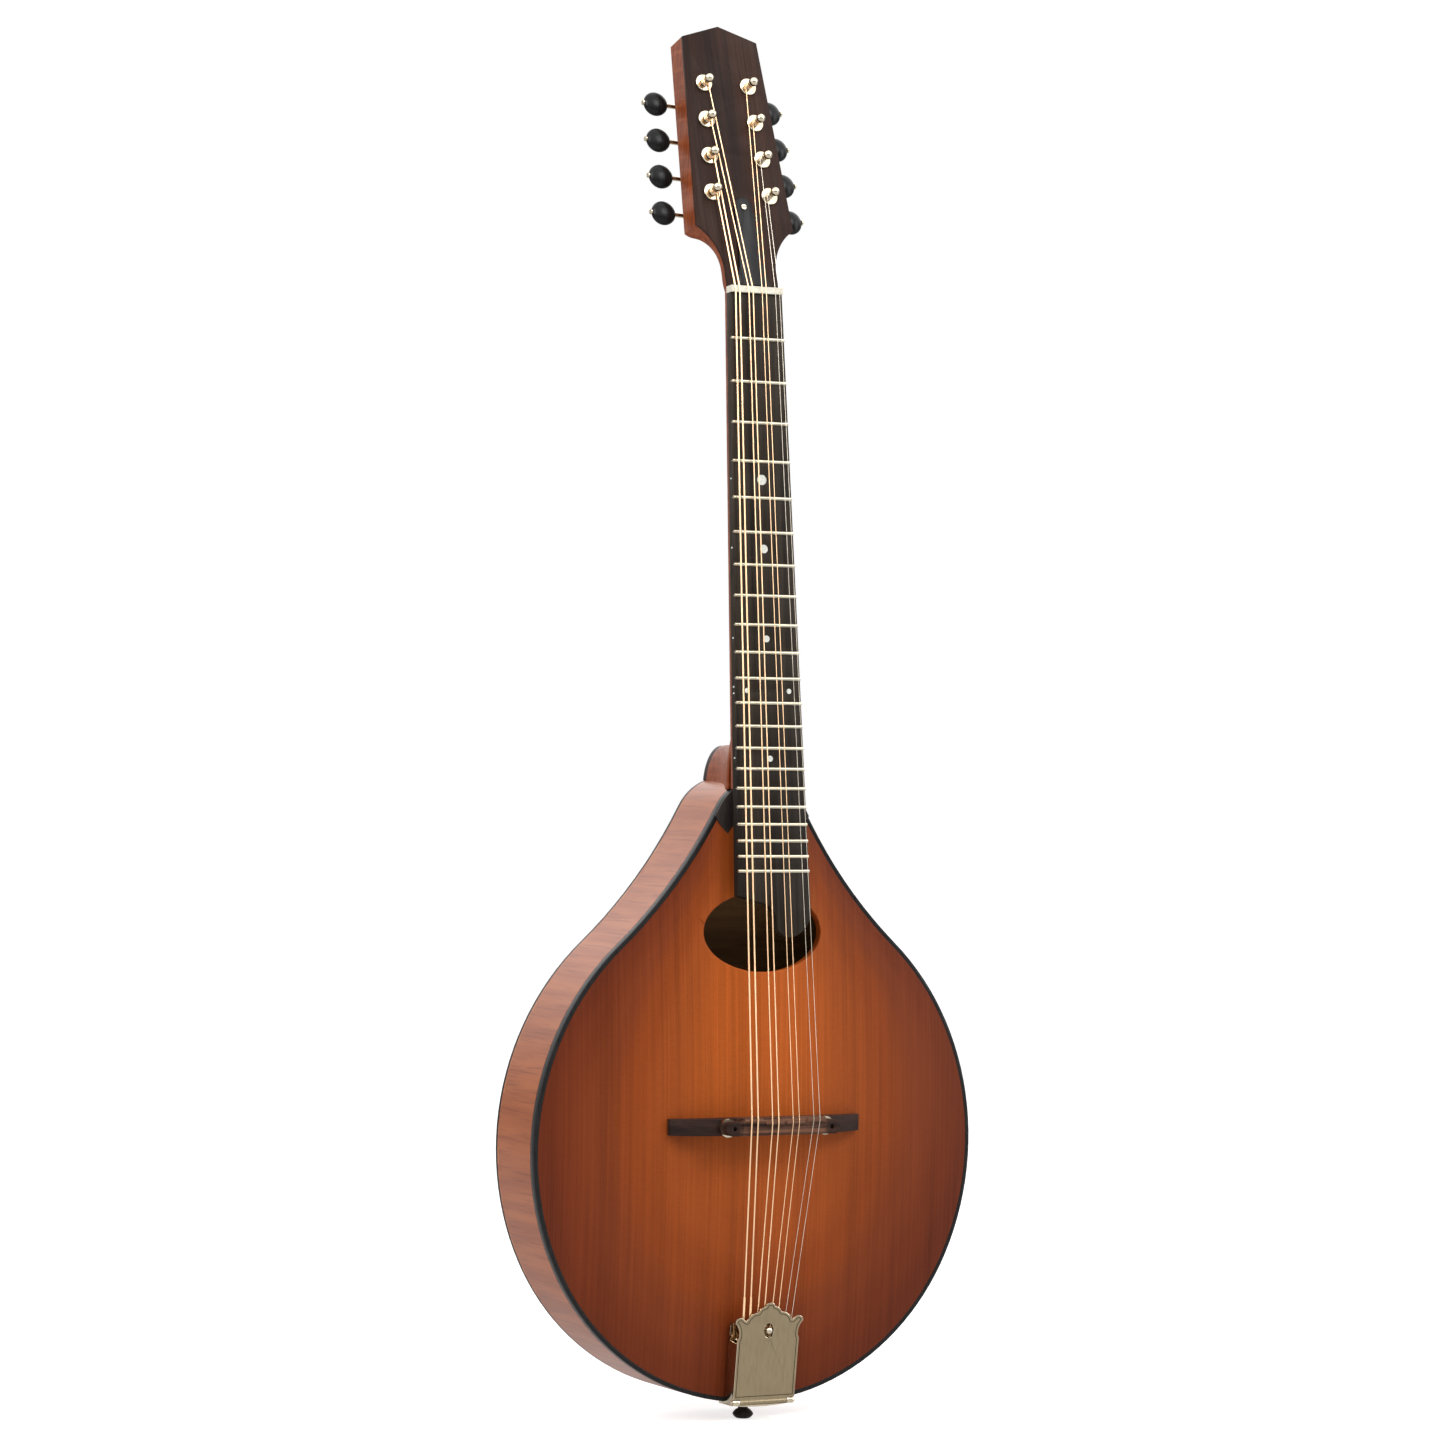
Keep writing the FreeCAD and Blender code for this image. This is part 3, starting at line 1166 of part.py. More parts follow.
saddle_back = wheel_back - mm.wheel_thickness
saddle = part_body("saddle_blank", at(bridge_frame, 0, saddle_back, 0))
lug = mm.saddle_width / 2
straight = mm.saddle_length / 2 - lug
stadium = [
    (-straight, lug),
    (-straight - lug, 0.0, lug),
    (-straight, -lug, lug),
    (straight, -lug),
    (straight + lug, 0.0, lug),
    (straight, lug, lug),
]
saddle_sketch = sketch(saddle, "saddle_outline", "XZ_Plane", [stadium])
pad(saddle, saddle_sketch, mm.lug_height)
crest_foot = crest_top + mm.crest_radius - saddle_back
ridge_sketch = sketch(saddle, "ridge_profile", "YZ_Plane", [[
    (0.0, -mm.ridge_below),
    (0.0, mm.ridge_above),
    (crest_foot, mm.ridge_above),
    (crest_foot, mm.ridge_crest),
    (-mm.lug_height, -mm.ridge_below),
]])
pad(saddle, ridge_sketch, mm.ridge_length, both=True)
saddle_bores = sketch(saddle, "saddle_bores", "XZ_Plane", circles=[
    (-mm.stud_apart / 2, 0.0, mm.stud_radius + mm.stud_gap),
    (mm.stud_apart / 2, 0.0, mm.stud_radius + mm.stud_gap),
], lift=mm.lug_height)
pocket(saddle, saddle_bores, mm.lug_height)
crests = [saddle]
crest_axes = []
for course, name in enumerate(COURSES):
    middle = (mm.saddle_span - mm.saddle_pair) * (course / 3 - 0.5)
    up = saddle_middle.z + CREST_SHIFTS[name]
    crest_axes.append(up)
    spot = Placement(Vector(middle - mm.crest_length / 2, crest_top + mm.crest_radius, up),
                     Rotation(BACK, 90))
    crests.append(cylinder(f"crest_{name}", mm.crest_radius, mm.crest_length, spot))
node(fuse("bridge_saddle", *crests))

# Tailpiece: base with its walls, flange and hooks, hinged cover, pin, latch and screws

half_base = mm.tail_base_width / 2
wall_foot = -mm.barrel_drop - mm.barrel_radius
flange_outer = tail_radius + mm.flange_gap + mm.flange_wall
flange_inner = tail_radius + mm.flange_gap
tail_base_body = part_body("tailpiece_pan", tail_frame)
pan = sketch(tail_base_body, "pan_outline", "XZ_Plane", [[
    (-half_base, -mm.tail_seat),
    (half_base, -mm.tail_seat, flange_outer),
    (half_base, mm.tail_plate_length - mm.tail_plate),
    (half_base - mm.tail_plate, mm.tail_plate_length),
    (-half_base + mm.tail_plate, mm.tail_plate_length),
    (-half_base, mm.tail_plate_length - mm.tail_plate),
]])
pad(tail_base_body, pan, mm.tail_plate)
walls = sketch(tail_base_body, "wall_outlines", "XZ_Plane", [
    [
        (side * half_base, wall_foot),
        (side * half_base, mm.tail_wall_length),
        (side * (half_base - mm.tail_wall), mm.tail_wall_length),
        (side * (half_base - mm.tail_wall), wall_foot),
    ]
    for side in (-1, 1)
])
pad(tail_base_body, walls, mm.tail_height - mm.cover_gap)

ring = Part.makeCylinder(flange_outer, mm.body_depth, Vector(), BACK)
ring = ring.cut(Part.makeCylinder(flange_inner, mm.body_depth, Vector(), BACK))
ring.translate(Vector(0, front - mm.tail_height, tail_radius))
half_tongue = mm.flange_tongue_width / 2
hinge_place = at(tail_frame, 0, -mm.barrel_back, -mm.barrel_drop)
flange_front = hinge_place.Base.y + mm.barrel_radius + mm.cover_gap * 2
flange_points = [
    Vector(-half_base, flange_front, 0),
    Vector(half_base, flange_front, 0),
    Vector(half_base, front + mm.flange_back, 0),
    Vector(half_tongue, front + mm.tongue_back - half_tongue / 2, 0),
    Vector(half_tongue / 2, front + mm.tongue_back, 0),
    Vector(-half_tongue / 2, front + mm.tongue_back, 0),
    Vector(-half_tongue, front + mm.tongue_back - half_tongue / 2, 0),
    Vector(-half_base, front + mm.flange_back, 0),
]
flange_face = Part.Face(Part.makePolygon(flange_points + flange_points[:1]))
flange_column = flange_face.extrude(UP * (2 * mm.overrun + mm.flange_wall))
flange_column.translate(UP * (-mm.overrun - mm.flange_wall))
flange_shape = ring.common(flange_column)


def screw_in_tail(side, sink):
    """Place of a screw that points at the middle of the tail arc, sunk from the flange."""
    lean = math.degrees(math.asin(mm.tail_screw_apart / 2 / flange_outer))
    turn = Rotation(BACK, -side * lean)
    centre = Placement(Vector(0, front + mm.tail_screw_back, tail_radius), turn)
    return centre * Placement(UP * (sink - flange_outer), Rotation())


flange_holes = [Part.makeCylinder(mm.pin_shank + mm.slot_gap, mm.overrun * 2 + mm.flange_wall)]
flange_holes[0].translate(Vector(0, front + mm.pin_back, -mm.overrun - mm.flange_wall))
for side in (-1, 1):
    hole = Part.makeCylinder(mm.tail_screw_radius + mm.slot_gap, mm.overrun * 2 + mm.flange_wall)
    hole.Placement = screw_in_tail(side, -mm.overrun)
    flange_holes.append(hole)
flange = feature("tail_flange", flange_shape.cut(Part.makeCompound(flange_holes)))

hinge_turn = Rotation(BACK, 90)


def hinge_bar(label, radius, start, length):
    """A round bar on the hinge's axis."""
    return cylinder(label, radius, length, at(hinge_place, start, 0, 0, hinge_turn))


knuckles = []
for name, start in (("bass", -half_base), ("treble", half_base - mm.knuckle_length)):
    barrel = hinge_bar(f"base_knuckle_{name}", mm.barrel_radius, start, mm.knuckle_length)
    web_front = mm.tail_height - mm.cover_gap
    web = box(f"base_web_{name}",
              (mm.knuckle_length, web_front - mm.barrel_back + mm.barrel_radius, mm.barrel_drop),
              at(tail_frame, start, -web_front, -mm.barrel_drop))
    knuckles += [barrel, web]
hooks = []
for index in range(2 * len(COURSES)):
    across = (index - 3.5) * mm.hook_step
    hooks.append(cylinder(f"hook_{index + 1}", mm.hook_radius, mm.hook_rise,
                          at(tail_frame, across, -mm.tail_plate / 2, mm.hook_place, Rotation(ACROSS, 90))))
    hooks.append(cylinder(f"hook_cap_{index + 1}", mm.hook_cap, mm.hook_cap_height,
                          at(tail_frame, across, -mm.hook_rise - mm.tail_plate / 2, mm.hook_place,
                             Rotation(ACROSS, 90))))
tail_solid = fuse("tailpiece_casting", tail_base_body, flange, *knuckles, *hooks)
pin_bore = hinge_bar("hinge_bore", mm.hinge_pin_radius + mm.running_gap, -half_base - mm.overrun,
                     mm.tail_base_width + 2 * mm.overrun)
latch_bore = cylinder("latch_bore", mm.latch_stem + mm.slot_gap, mm.tail_plate + 2 * mm.overrun,
                      at(tail_frame, 0, mm.overrun, mm.latch_place, Rotation(ACROSS, 90)))
node(cut("tailpiece_base", tail_solid, pin_bore, latch_bore))

cover_body = part_body("cover_plate", at(tail_frame, 0, -mm.tail_height, 0))


def crown_side(side):
    """Corners of one side of the cover, from the foot up to the tip."""
    lobe_end = mm.cover_ear_width - mm.cover_lobe_width * 2
    corners = [
        (mm.cover_width, mm.cover_gap, None),
        (mm.cover_width, mm.cover_neck_height, None),
        (mm.cover_notch_width, mm.cover_notch_height, -1),
        (mm.cover_ear_width, mm.cover_ear_height, -1),
        (lobe_end, mm.cover_ear_height + mm.cover_lobe_rise, 1),
        (lobe_end - mm.cover_valley_width * 2, mm.cover_valley_height, -1),
        (mm.cover_shoulder_width, mm.cover_shoulder_height, 1),
        (mm.cover_crown_width, mm.cover_crown_height, 1),
    ]
    return [(side * width / 2, up, bend) for width, up, bend in corners]


CROWN_BENDS = {
    2: mm.cover_neck_height * mm.notch_round_share,
    3: mm.cover_ear_width * mm.ear_side_share,
    4: mm.cover_lobe_width * mm.ear_round_share,
    5: mm.cover_ear_width * mm.valley_round_share,
    6: mm.cover_width * mm.shoulder_round_share,
    7: mm.cover_width * mm.crown_round_share,
    8: mm.cover_width * mm.tip_round_share,
}


def cover_outline():
    """The cover's full outline, up the treble side and down the bass side."""
    right = crown_side(1)
    left = crown_side(-1)
    corners = [(left[0][0], left[0][1]), (right[0][0], right[0][1]), (right[1][0], right[1][1])]
    for number in range(2, 8):
        across, up, bend = right[number]
        corners.append((across, up, CROWN_BENDS[number] * bend))
    corners.append((0.0, mm.cover_height, CROWN_BENDS[8]))
    corners.append((left[7][0], left[7][1], CROWN_BENDS[8]))
    for number in range(7, 1, -1):
        across, up, _ = left[number - 1]
        bend = right[number][2]
        corners.append((across, up, CROWN_BENDS[number] * bend))
    return corners


cover_sketch = sketch(cover_body, "cover_outline", "XZ_Plane", [cover_outline()])
pad(cover_body, cover_sketch, mm.cover_plate)
doc.recompute()

cover_middle = mm.knuckle_length + mm.knuckle_gap
middle_barrel = hinge_bar("cover_knuckle", mm.barrel_radius, -half_base + cover_middle,
                          mm.tail_base_width - 2 * cover_middle)
window_shape = Part.Ellipse(Vector(), mm.latch_window_height / 2, mm.latch_window_width / 2).toShape()
window_cut = Part.Face(Part.Wire(window_shape)).extrude(UP * (mm.cover_plate + 2 * mm.overrun))
window_turn = Rotation(ACROSS, 90) * Rotation(UP, 90)
window_cut.Placement = at(tail_frame, 0, -mm.tail_height + mm.overrun, mm.latch_place, window_turn)
cover_face = [face for face in cover_body.Shape.Faces
              if face.normalAt(0, 0).getAngle(tail_frame.Rotation.multVec(-BACK)) < 0.01][0]
outer_line = cover_face.makeOffset2D(-float(mm.cover_line_inset))
inner_line = cover_face.makeOffset2D(-float(mm.cover_line_inset + mm.cover_line_width))
inward = tail_frame.Rotation.multVec(BACK) * mm.cover_line_depth
line_cut = outer_line.cut(inner_line).extrude(inward)
cover_tools = feature("cover_tools", Part.makeCompound([window_cut, line_cut]))
cover_web = box("cover_web", (mm.tail_base_width - 2 * cover_middle, mm.cover_plate,
                              mm.barrel_drop + mm.cover_plate),
                at(tail_frame, -half_base + cover_middle, -mm.tail_height - mm.cover_plate,
                   -mm.barrel_drop))
cover_solid = fuse("cover_casting", cover_body, middle_barrel, cover_web)
cover_bore_bar = hinge_bar("cover_hinge_bore", mm.hinge_pin_radius + mm.running_gap,
                           -half_base - mm.overrun, mm.tail_base_width + 2 * mm.overrun)
doc.recompute()
node(cut("tailpiece_cover", cover_solid, cover_tools, cover_bore_bar))

hinge_pin = hinge_bar("hinge_rod", mm.hinge_pin_radius, -half_base, mm.tail_base_width)
pin_heads = []
for name, start in (("bass", -half_base - mm.hinge_pin_head_height), ("treble", half_base)):
    pin_heads.append(hinge_bar(f"hinge_head_{name}", mm.hinge_pin_head, start, mm.hinge_pin_head_height))
node(fuse("tailpiece_hinge_pin", hinge_pin, *pin_heads))

stem = cylinder("latch_stem", mm.latch_stem, mm.tail_height + mm.cover_plate,
                at(tail_frame, 0, 0, mm.latch_place, Rotation(ACROSS, 90)))
ball = doc.addObject("Part::Sphere", "latch_ball")
bind(ball, Radius=mm.latch_ball)
ball.Placement = at(tail_frame, 0, -mm.tail_height - mm.cover_plate, mm.latch_place)
node(fuse("tailpiece_latch", stem, ball))

tail_screws = []
for name, side in (("bass", -1), ("treble", 1)):
    spot = screw_in_tail(side, -mm.slot_gap)
    shank = cylinder(f"tail_screw_shank_{name}", mm.tail_screw_radius, mm.tail_screw_length, spot)
    head_place = spot * Placement(UP * -mm.tail_screw_head_height, Rotation())
    head = cylinder(f"tail_screw_head_{name}", mm.tail_screw_head, mm.tail_screw_head_height, head_place)
    tail_screws.append(fuse(f"tail_screw_{name}", shank, head))
node(group("tailpiece_screws", tail_screws))

end_pin = part_body("end_pin", Placement(Vector(0, front + mm.pin_back, -mm.flange_gap - mm.flange_wall), Rotation()))
pin_sketch = sketch(end_pin, "pin_profile", "XZ_Plane", [[
    (0.0, mm.pin_shank_length),
    (0.0, -mm.pin_length),
    (mm.pin_head * mm.pin_flat_share, -mm.pin_length),
    (mm.pin_head, -mm.pin_length * mm.pin_widest_share, mm.pin_head * mm.pin_round_share),
    (mm.pin_neck, -mm.pin_neck_length, mm.pin_head),
    (mm.pin_foot, 0.0, -mm.pin_length * mm.pin_hollow_share),
    (mm.pin_shank, 0.0),
    (mm.pin_shank, mm.pin_shank_length),
]])
turned(end_pin, pin_sketch, "V_Axis")
node(end_pin)

tail_bores = []
pin_hole = Part.makeCylinder(mm.pin_shank + mm.slot_gap, mm.pin_shank_length + mm.overrun)
pin_hole.translate(Vector(0, front + mm.pin_back, -mm.overrun))
tail_bores.append(pin_hole)
for side in (-1, 1):
    hole = Part.makeCylinder(mm.tail_screw_radius + mm.slot_gap, mm.tail_screw_length + mm.overrun)
    hole.Placement = screw_in_tail(side, -mm.overrun)
    tail_bores.append(hole)
tail_bores = Part.makeCompound(tail_bores)
node(feature("tail_block", tail_block_blank.cut(tail_bores)))
for name in ("rib_bass", "rib_treble"):
    nodes[name].Shape = nodes[name].Shape.cut(tail_bores)

# Strings along their route: loop, saddle, nut and post


def round_corner(before, corner, after, radius):
    """Start, middle and end of the arc that rounds a corner of a route."""
    into = (corner - before).normalize()
    out = (after - corner).normalize()
    turn = into.getAngle(out)
    cut_back = radius * math.tan(turn / 2)
    bisector = (out - into).normalize()
    middle = corner + bisector * (radius / math.cos(turn / 2) - radius)
    return corner - into * cut_back, middle, corner + out * cut_back


def tube(wire, start, direction, radius):
    """A round tube along a wire."""
    ring = Part.Wire(Part.makeCircle(radius, start, direction))
    return wire.makePipeShell([ring], True, False)


def biarc(start, leave, end, arrive):
    """Two arcs that join two points with given directions."""
    span = end - start
    total = leave + arrive
    spread_out = 2 * (1 - leave.dot(arrive))
    along_total = span.dot(total)
    length = (-along_total + math.sqrt(along_total ** 2 + spread_out * span.dot(span))) / spread_out
    first = start + leave * length
    second = end - arrive * length
    middle = (first + second) * 0.5
    arcs = []
    for begin, corner, finish in ((start, first, middle), (middle, second, end)):
        into = (corner - begin).normalize()
        out = (finish - corner).normalize()
        bisector = (out - into).normalize()
        turn = into.getAngle(out)
        reach_out = (corner - begin).Length / math.tan(turn / 2)
        on_arc = corner + bisector * (reach_out / math.cos(turn / 2) - reach_out)
        arcs.append(Part.Arc(begin, on_arc, finish).toShape())
    return arcs


QUARTERS_OF_WINDING = {"g": 8, "d": 10, "a": 13, "e": 15}
POINTS_A_QUARTER = 16
POST_OF_STRING = (0, 1, 2, 3, 7, 6, 5, 4)
level_front = mm.overlay_thickness + mm.bushing_flange


class Coil:
    """The helix that a string follows round its post, from where it first touches it."""

    def __init__(self, place, radius, level, step, start, sense):
        self.place, self.radius, self.level = place, radius, level
        self.step, self.start, self.sense = step, start, sense

    def point(self, turned_by):
        angle = self.start + self.sense * turned_by
        depth = self.level - self.step * turned_by / (2 * math.pi)
        return self.place.multVec(
            Vector(self.radius * math.cos(angle), depth, self.radius * math.sin(angle)))

    def direction(self, turned_by):
        angle = self.start + self.sense * turned_by
        forward = Vector(-self.radius * math.sin(angle) * self.sense, -self.step / (2 * math.pi),
                         self.radius * math.cos(angle) * self.sense)
        return self.place.Rotation.multVec(forward.normalize())

    def edges(self, quarters, arrive):
        """Two arcs for each quarter turn, from the direction in which the string arrives."""
        pieces = []
        leave = arrive
        for quarter in range(quarters):
            near, far = quarter * math.pi / 2, (quarter + 1) * math.pi / 2
            pieces += biarc(self.point(near), leave, self.point(far), self.direction(far))
            leave = self.direction(far)
        return pieces


def least_gap(pieces, gauge):
    """The least gap between the turns of a winding, measured on points of its middle line."""
    points = []
    for piece in pieces:
        points += piece.discretize(POINTS_A_QUARTER)[:-1]
    half_turn = 4 * (POINTS_A_QUARTER - 1)
    gaps = []
    for number, point in enumerate(points):
        for other in points[number + half_turn:]:
            gaps.append(point.distanceToPoint(other) - gauge)
    return min(gaps)


strings = {name: [] for name in COURSES}
nut_cutters = []
for index in range(2 * len(COURSES)):
    course = index // 2
    name = COURSES[course]
    gauge = GAUGES[name]
    side, post_place = post_places[POST_OF_STRING[index]]
    level = -level_front - mm.string_level - gauge / 2
    coil_radius = mm.waist_radius + gauge / 2 + mm.string_gap
    hook = at(tail_frame, (index - 3.5) * mm.hook_step, -mm.loop_level, mm.hook_place)
    saddle_point = Vector(spread(index, mm.saddle_span, mm.saddle_pair),
                          crest_top - gauge / 2 - mm.string_gap, crest_axes[course])
    nut_point = neck_frame.multVec(Vector(
        spread(index, mm.nut_span, mm.nut_pair),
        -frets_front - mm.nut_action - gauge / 2, mm.nut_length / 2))
    local_nut = post_place.inverse().multVec(nut_point)
    apart = Vector(local_nut.x, 0, local_nut.z)
    tilt = math.asin(coil_radius / apart.Length)
    touch_angle = math.atan2(apart.z, apart.x) - side * (math.pi / 2 - tilt)
    coil = Coil(post_place, coil_radius, level, gauge + mm.turn_gap, touch_angle, -side)
    touch = coil.point(0)
    loop_radius = mm.hook_radius + gauge / 2 + mm.string_gap
    start = hook.multVec(UP * loop_radius)
    at_saddle = round_corner(start, saddle_point, nut_point, mm.crest_radius + gauge / 2)
    at_nut = round_corner(saddle_point, nut_point, touch, mm.nut_bend)
    quarters = QUARTERS_OF_WINDING[name]
    turns = coil.edges(quarters, (touch - nut_point).normalize())
    last = quarters * math.pi / 2
    string_end = coil.point(last) + coil.direction(last) * mm.string_tail
    route = Part.Wire([
        Part.makeLine(start, at_saddle[0]),
        Part.Arc(*at_saddle).toShape(),
        Part.makeLine(at_saddle[2], at_nut[0]),
        Part.Arc(*at_nut).toShape(),
        Part.makeLine(at_nut[2], touch),
    ] + turns + [Part.makeLine(coil.point(last), string_end)])
    string_solid = tube(route, start, saddle_point - start, gauge / 2)
    print("string", name, index % 2 + 1, "least gap between its turns, mm:",
          round(least_gap(turns, gauge), 3))
    loop = Part.makeTorus(loop_radius, gauge / 2)
    loop.Placement = hook * Placement(Vector(), Rotation(ACROSS, 90))
    string_solid = string_solid.fuse(loop)
    if name == "g":
        wrap = Part.makeCylinder(gauge / 2 + mm.loop_wrap, mm.loop_wrap_length)
        wrap.Placement = Placement(start, along(saddle_point - start))
        string_solid = string_solid.fuse(wrap)
    strings[name].append(feature(f"string_{name}_{index % 2 + 1}", string_solid))

    slot_radius = gauge / 2 + mm.string_gap + mm.slot_gap
    for far_end in (touch, saddle_point):
        way = (far_end - nut_point).normalize()
        slot = Part.makeCylinder(slot_radius, mm.nut_length * 2)
        slot.Placement = Placement(nut_point - way * slot_radius, along(way))
        nut_cutters.append(slot)
    opening = Part.makeBox(2 * slot_radius, mm.nut_front, mm.nut_length * 3)
    opening.Placement = neck_frame * Placement(
        Vector(spread(index, mm.nut_span, mm.nut_pair) - slot_radius,
               -frets_front - mm.nut_action - gauge / 2 - mm.nut_front, -mm.nut_length), Rotation())
    nut_cutters.append(opening)
for name in COURSES:
    node(group(f"strings_{name}", strings[name]))

nut_blank = part_body("nut_blank", neck_frame)
nut_sketch = sketch(nut_blank, "nut_profile", "YZ_Plane", [[
    (0.0, 0.0),
    (0.0, mm.nut_length),
    (-mm.nut_rear, mm.nut_length),
    (-mm.nut_front, 0.0),
]])
pad(nut_blank, nut_sketch, mm.nut_width, both=True)
node(cut("nut", nut_blank, feature("nut_cutters", Part.makeCompound(nut_cutters))))

# Tuners: plates with ears, keys with their worms, posts with their gears

plate_body = part_body("tuner_plate_pattern")
half_plate = mm.tuner_plate_width / 2
plate_outline = sketch(plate_body, "tuner_plate_outline", "XZ_Plane", [[
    (-half_plate, -mm.plate_below),
    (half_plate, -mm.plate_below),
    (half_plate, mm.plate_above),
    (-half_plate, mm.plate_above),
]], circles=[(0.0, 0.0, mm.post_radius + mm.running_gap)])
pad(plate_body, plate_outline, mm.plate_thickness, back=True)
ear_outlines = []
for side in (-1, 1):
    ear_outlines.append([
        (side * mm.ear_inner, -mm.centre_distance - mm.ear_half_width),
        (side * (mm.ear_inner + mm.ear_thickness), -mm.centre_distance - mm.ear_half_width),
        (side * (mm.ear_inner + mm.ear_thickness), -mm.centre_distance + mm.ear_half_width),
        (side * mm.ear_inner, -mm.centre_distance + mm.ear_half_width),
    ])
ears = sketch(plate_body, "ear_outlines", "XZ_Plane", ear_outlines)
pad(plate_body, ears, mm.gear_lift + mm.ear_half_width, back=True)
ear_bore = sketch(plate_body, "ear_bore", "YZ_Plane",
                  circles=[(mm.gear_lift, -mm.centre_distance, mm.worm_shaft_radius + mm.running_gap)])
pocket(plate_body, ear_bore, mm.tuner_plate_width, both=True)
doc.recompute()

worm_pitch = math.pi * mm.gear_module
turns_of_thread = 2
helix = Part.makeHelix(worm_pitch, turns_of_thread * worm_pitch, mm.worm_core)
helix.translate(UP * (-turns_of_thread * worm_pitch / 2))
thread_foot = mm.worm_core - mm.thread_sink
low = -turns_of_thread * worm_pitch / 2
thread_profile = Part.makePolygon([
    Vector(thread_foot, 0, low - mm.thread_root_width / 2),
    Vector(mm.worm_tip, 0, low - mm.thread_tip_width / 2),
    Vector(mm.worm_tip, 0, low + mm.thread_tip_width / 2),
    Vector(thread_foot, 0, low + mm.thread_root_width / 2),
    Vector(thread_foot, 0, low - mm.thread_root_width / 2),
])
thread = Part.Wire(helix).makePipeShell([thread_profile], True, True)
core = Part.makeCylinder(mm.worm_core, 2 * mm.worm_half_length, UP * -mm.worm_half_length)
shaft_start = mm.ear_inner + mm.ear_thickness + mm.shaft_tail
edge_across = mm.post_inset
button_start = edge_across + mm.button_gap
bar = Part.makeCylinder(mm.worm_shaft_radius, shaft_start + button_start + mm.button_grip,
                        UP * -shaft_start)
worm_shape = core.fuse(bar).fuse(thread)
worm_shape.rotate(Vector(), BACK, 90)
worm_pattern = feature("worm_pattern", worm_shape)

button_round = part_body("button_round")
button_middle = button_start + mm.button_length / 2
button_sketch = sketch(button_round, "button_outline", "XZ_Plane", [[
    (button_start, 0.0),
    (button_start + mm.button_length, 0.0),
    (button_middle, mm.button_height / 2, mm.button_height * mm.button_outer_share),
    (button_start, mm.button_neck / 2, mm.button_height * mm.button_inner_share),
]])
turned(button_round, button_sketch, "H_Axis")
flatten = FreeCAD.Matrix()
flatten.scale(1, mm.button_thickness / mm.button_height, 1)
button_shape = button_round.Shape.transformGeometry(flatten)
for radius, begin, depth in ((mm.worm_shaft_radius, button_start, mm.button_grip),
                             (mm.button_screw_shank, button_start + mm.button_length,
                              -mm.button_screw_depth)):
    bore_start = ACROSS * min(begin, begin + depth)
    bore = Part.makeCylinder(radius + mm.running_gap, abs(depth), bore_start, ACROSS)
    button_shape = button_shape.cut(bore)
button_body = feature("button_pattern", button_shape)

button_tip = button_start + mm.button_length
screw_head = Part.makeCylinder(mm.button_screw_radius, mm.button_screw_height)
screw_slot = Part.makeBox(2 * mm.button_screw_radius, mm.driver_slot, mm.driver_slot)
screw_slot.translate(Vector(-mm.button_screw_radius, -mm.driver_slot / 2,
                            mm.button_screw_height - mm.driver_slot))
screw_stem = Part.makeCylinder(mm.button_screw_shank, mm.button_screw_depth, UP * -mm.button_screw_depth)
screw_shape = screw_head.cut(screw_slot).fuse(screw_stem)
screw_shape.rotate(Vector(), BACK, 90)
screw_shape.translate(ACROSS * button_tip)
button_screw = feature("button_screw_pattern", screw_shape)

post_body = part_body("post_pattern")
gear_back = worm_back + mm.gear_thickness / 2
gear_front = worm_back - mm.gear_thickness / 2
ball_middle = -mm.overlay_thickness - mm.ball_height
waist_foot = -level_front
waist_top = waist_foot - mm.waist_length
ball_meet = math.sqrt(mm.ball_radius ** 2 - mm.waist_radius ** 2)
meet = ball_middle + Size(ball_meet, "sqrt(Sizes.ball_radius ^ 2 - Sizes.waist_radius ^ 2)")
post_sketch = sketch(post_body, "post_profile", "XY_Plane", [[
    (0.0, gear_back),
    (0.0, ball_middle - mm.ball_radius),
    (mm.waist_radius, meet, mm.ball_radius),
    (mm.waist_radius, waist_foot),
    (mm.post_radius, waist_foot + mm.string_level),
    (mm.post_radius, plate_back + mm.running_gap),
    (mm.collar_radius, plate_back + mm.running_gap),
    (mm.collar_radius, gear_front),
    (mm.gear_seat_radius, gear_front),
    (mm.gear_seat_radius, gear_back),
]])
turned(post_body, post_sketch, "V_Axis")
string_hole = sketch(post_body, "string_hole", "YZ_Plane",
                     circles=[(waist_top + mm.string_hole / 2, 0.0, mm.string_hole)])
pocket(post_body, string_hole, mm.post_radius * 4, both=True)
doc.recompute()

gear_blank = Part.makeCylinder(mm.gear_root, mm.gear_thickness, Vector(), BACK)
lead = math.degrees(math.atan2(worm_pitch, 2 * math.pi * (mm.worm_core + mm.worm_tip) / 2))
teeth = []
tooth_sink = mm.gear_root - mm.thread_root_width / 2
tooth_profile = Part.Face(Part.makePolygon([
    Vector(-mm.tooth_root_width / 2, 0, -tooth_sink),
    Vector(mm.tooth_root_width / 2, 0, -tooth_sink),
    Vector(mm.tooth_tip_width / 2, 0, -mm.gear_tip),
    Vector(-mm.tooth_tip_width / 2, 0, -mm.gear_tip),
    Vector(-mm.tooth_root_width / 2, 0, -tooth_sink),
]))
gear_teeth = int(mm.gear_teeth)
for number in range(gear_teeth):
    tooth = tooth_profile.extrude(BACK * (mm.gear_thickness * 1.2))
    tooth.translate(BACK * (-mm.gear_thickness * 0.6))
    tooth.rotate(Vector(), UP, lead)
    tooth.translate(BACK * (mm.gear_thickness / 2))
    tooth.rotate(Vector(), BACK, 360 * number / gear_teeth)
    teeth.append(tooth)
face_room = Part.makeCylinder(mm.gear_tip * 2, mm.gear_thickness, Vector(), BACK)
gear_shape = gear_blank.fuse(teeth).common(face_room)
gear_shape = gear_shape.cut(Part.makeCylinder(mm.gear_seat_radius + mm.slot_gap, mm.gear_thickness,
                                              Vector(), BACK))
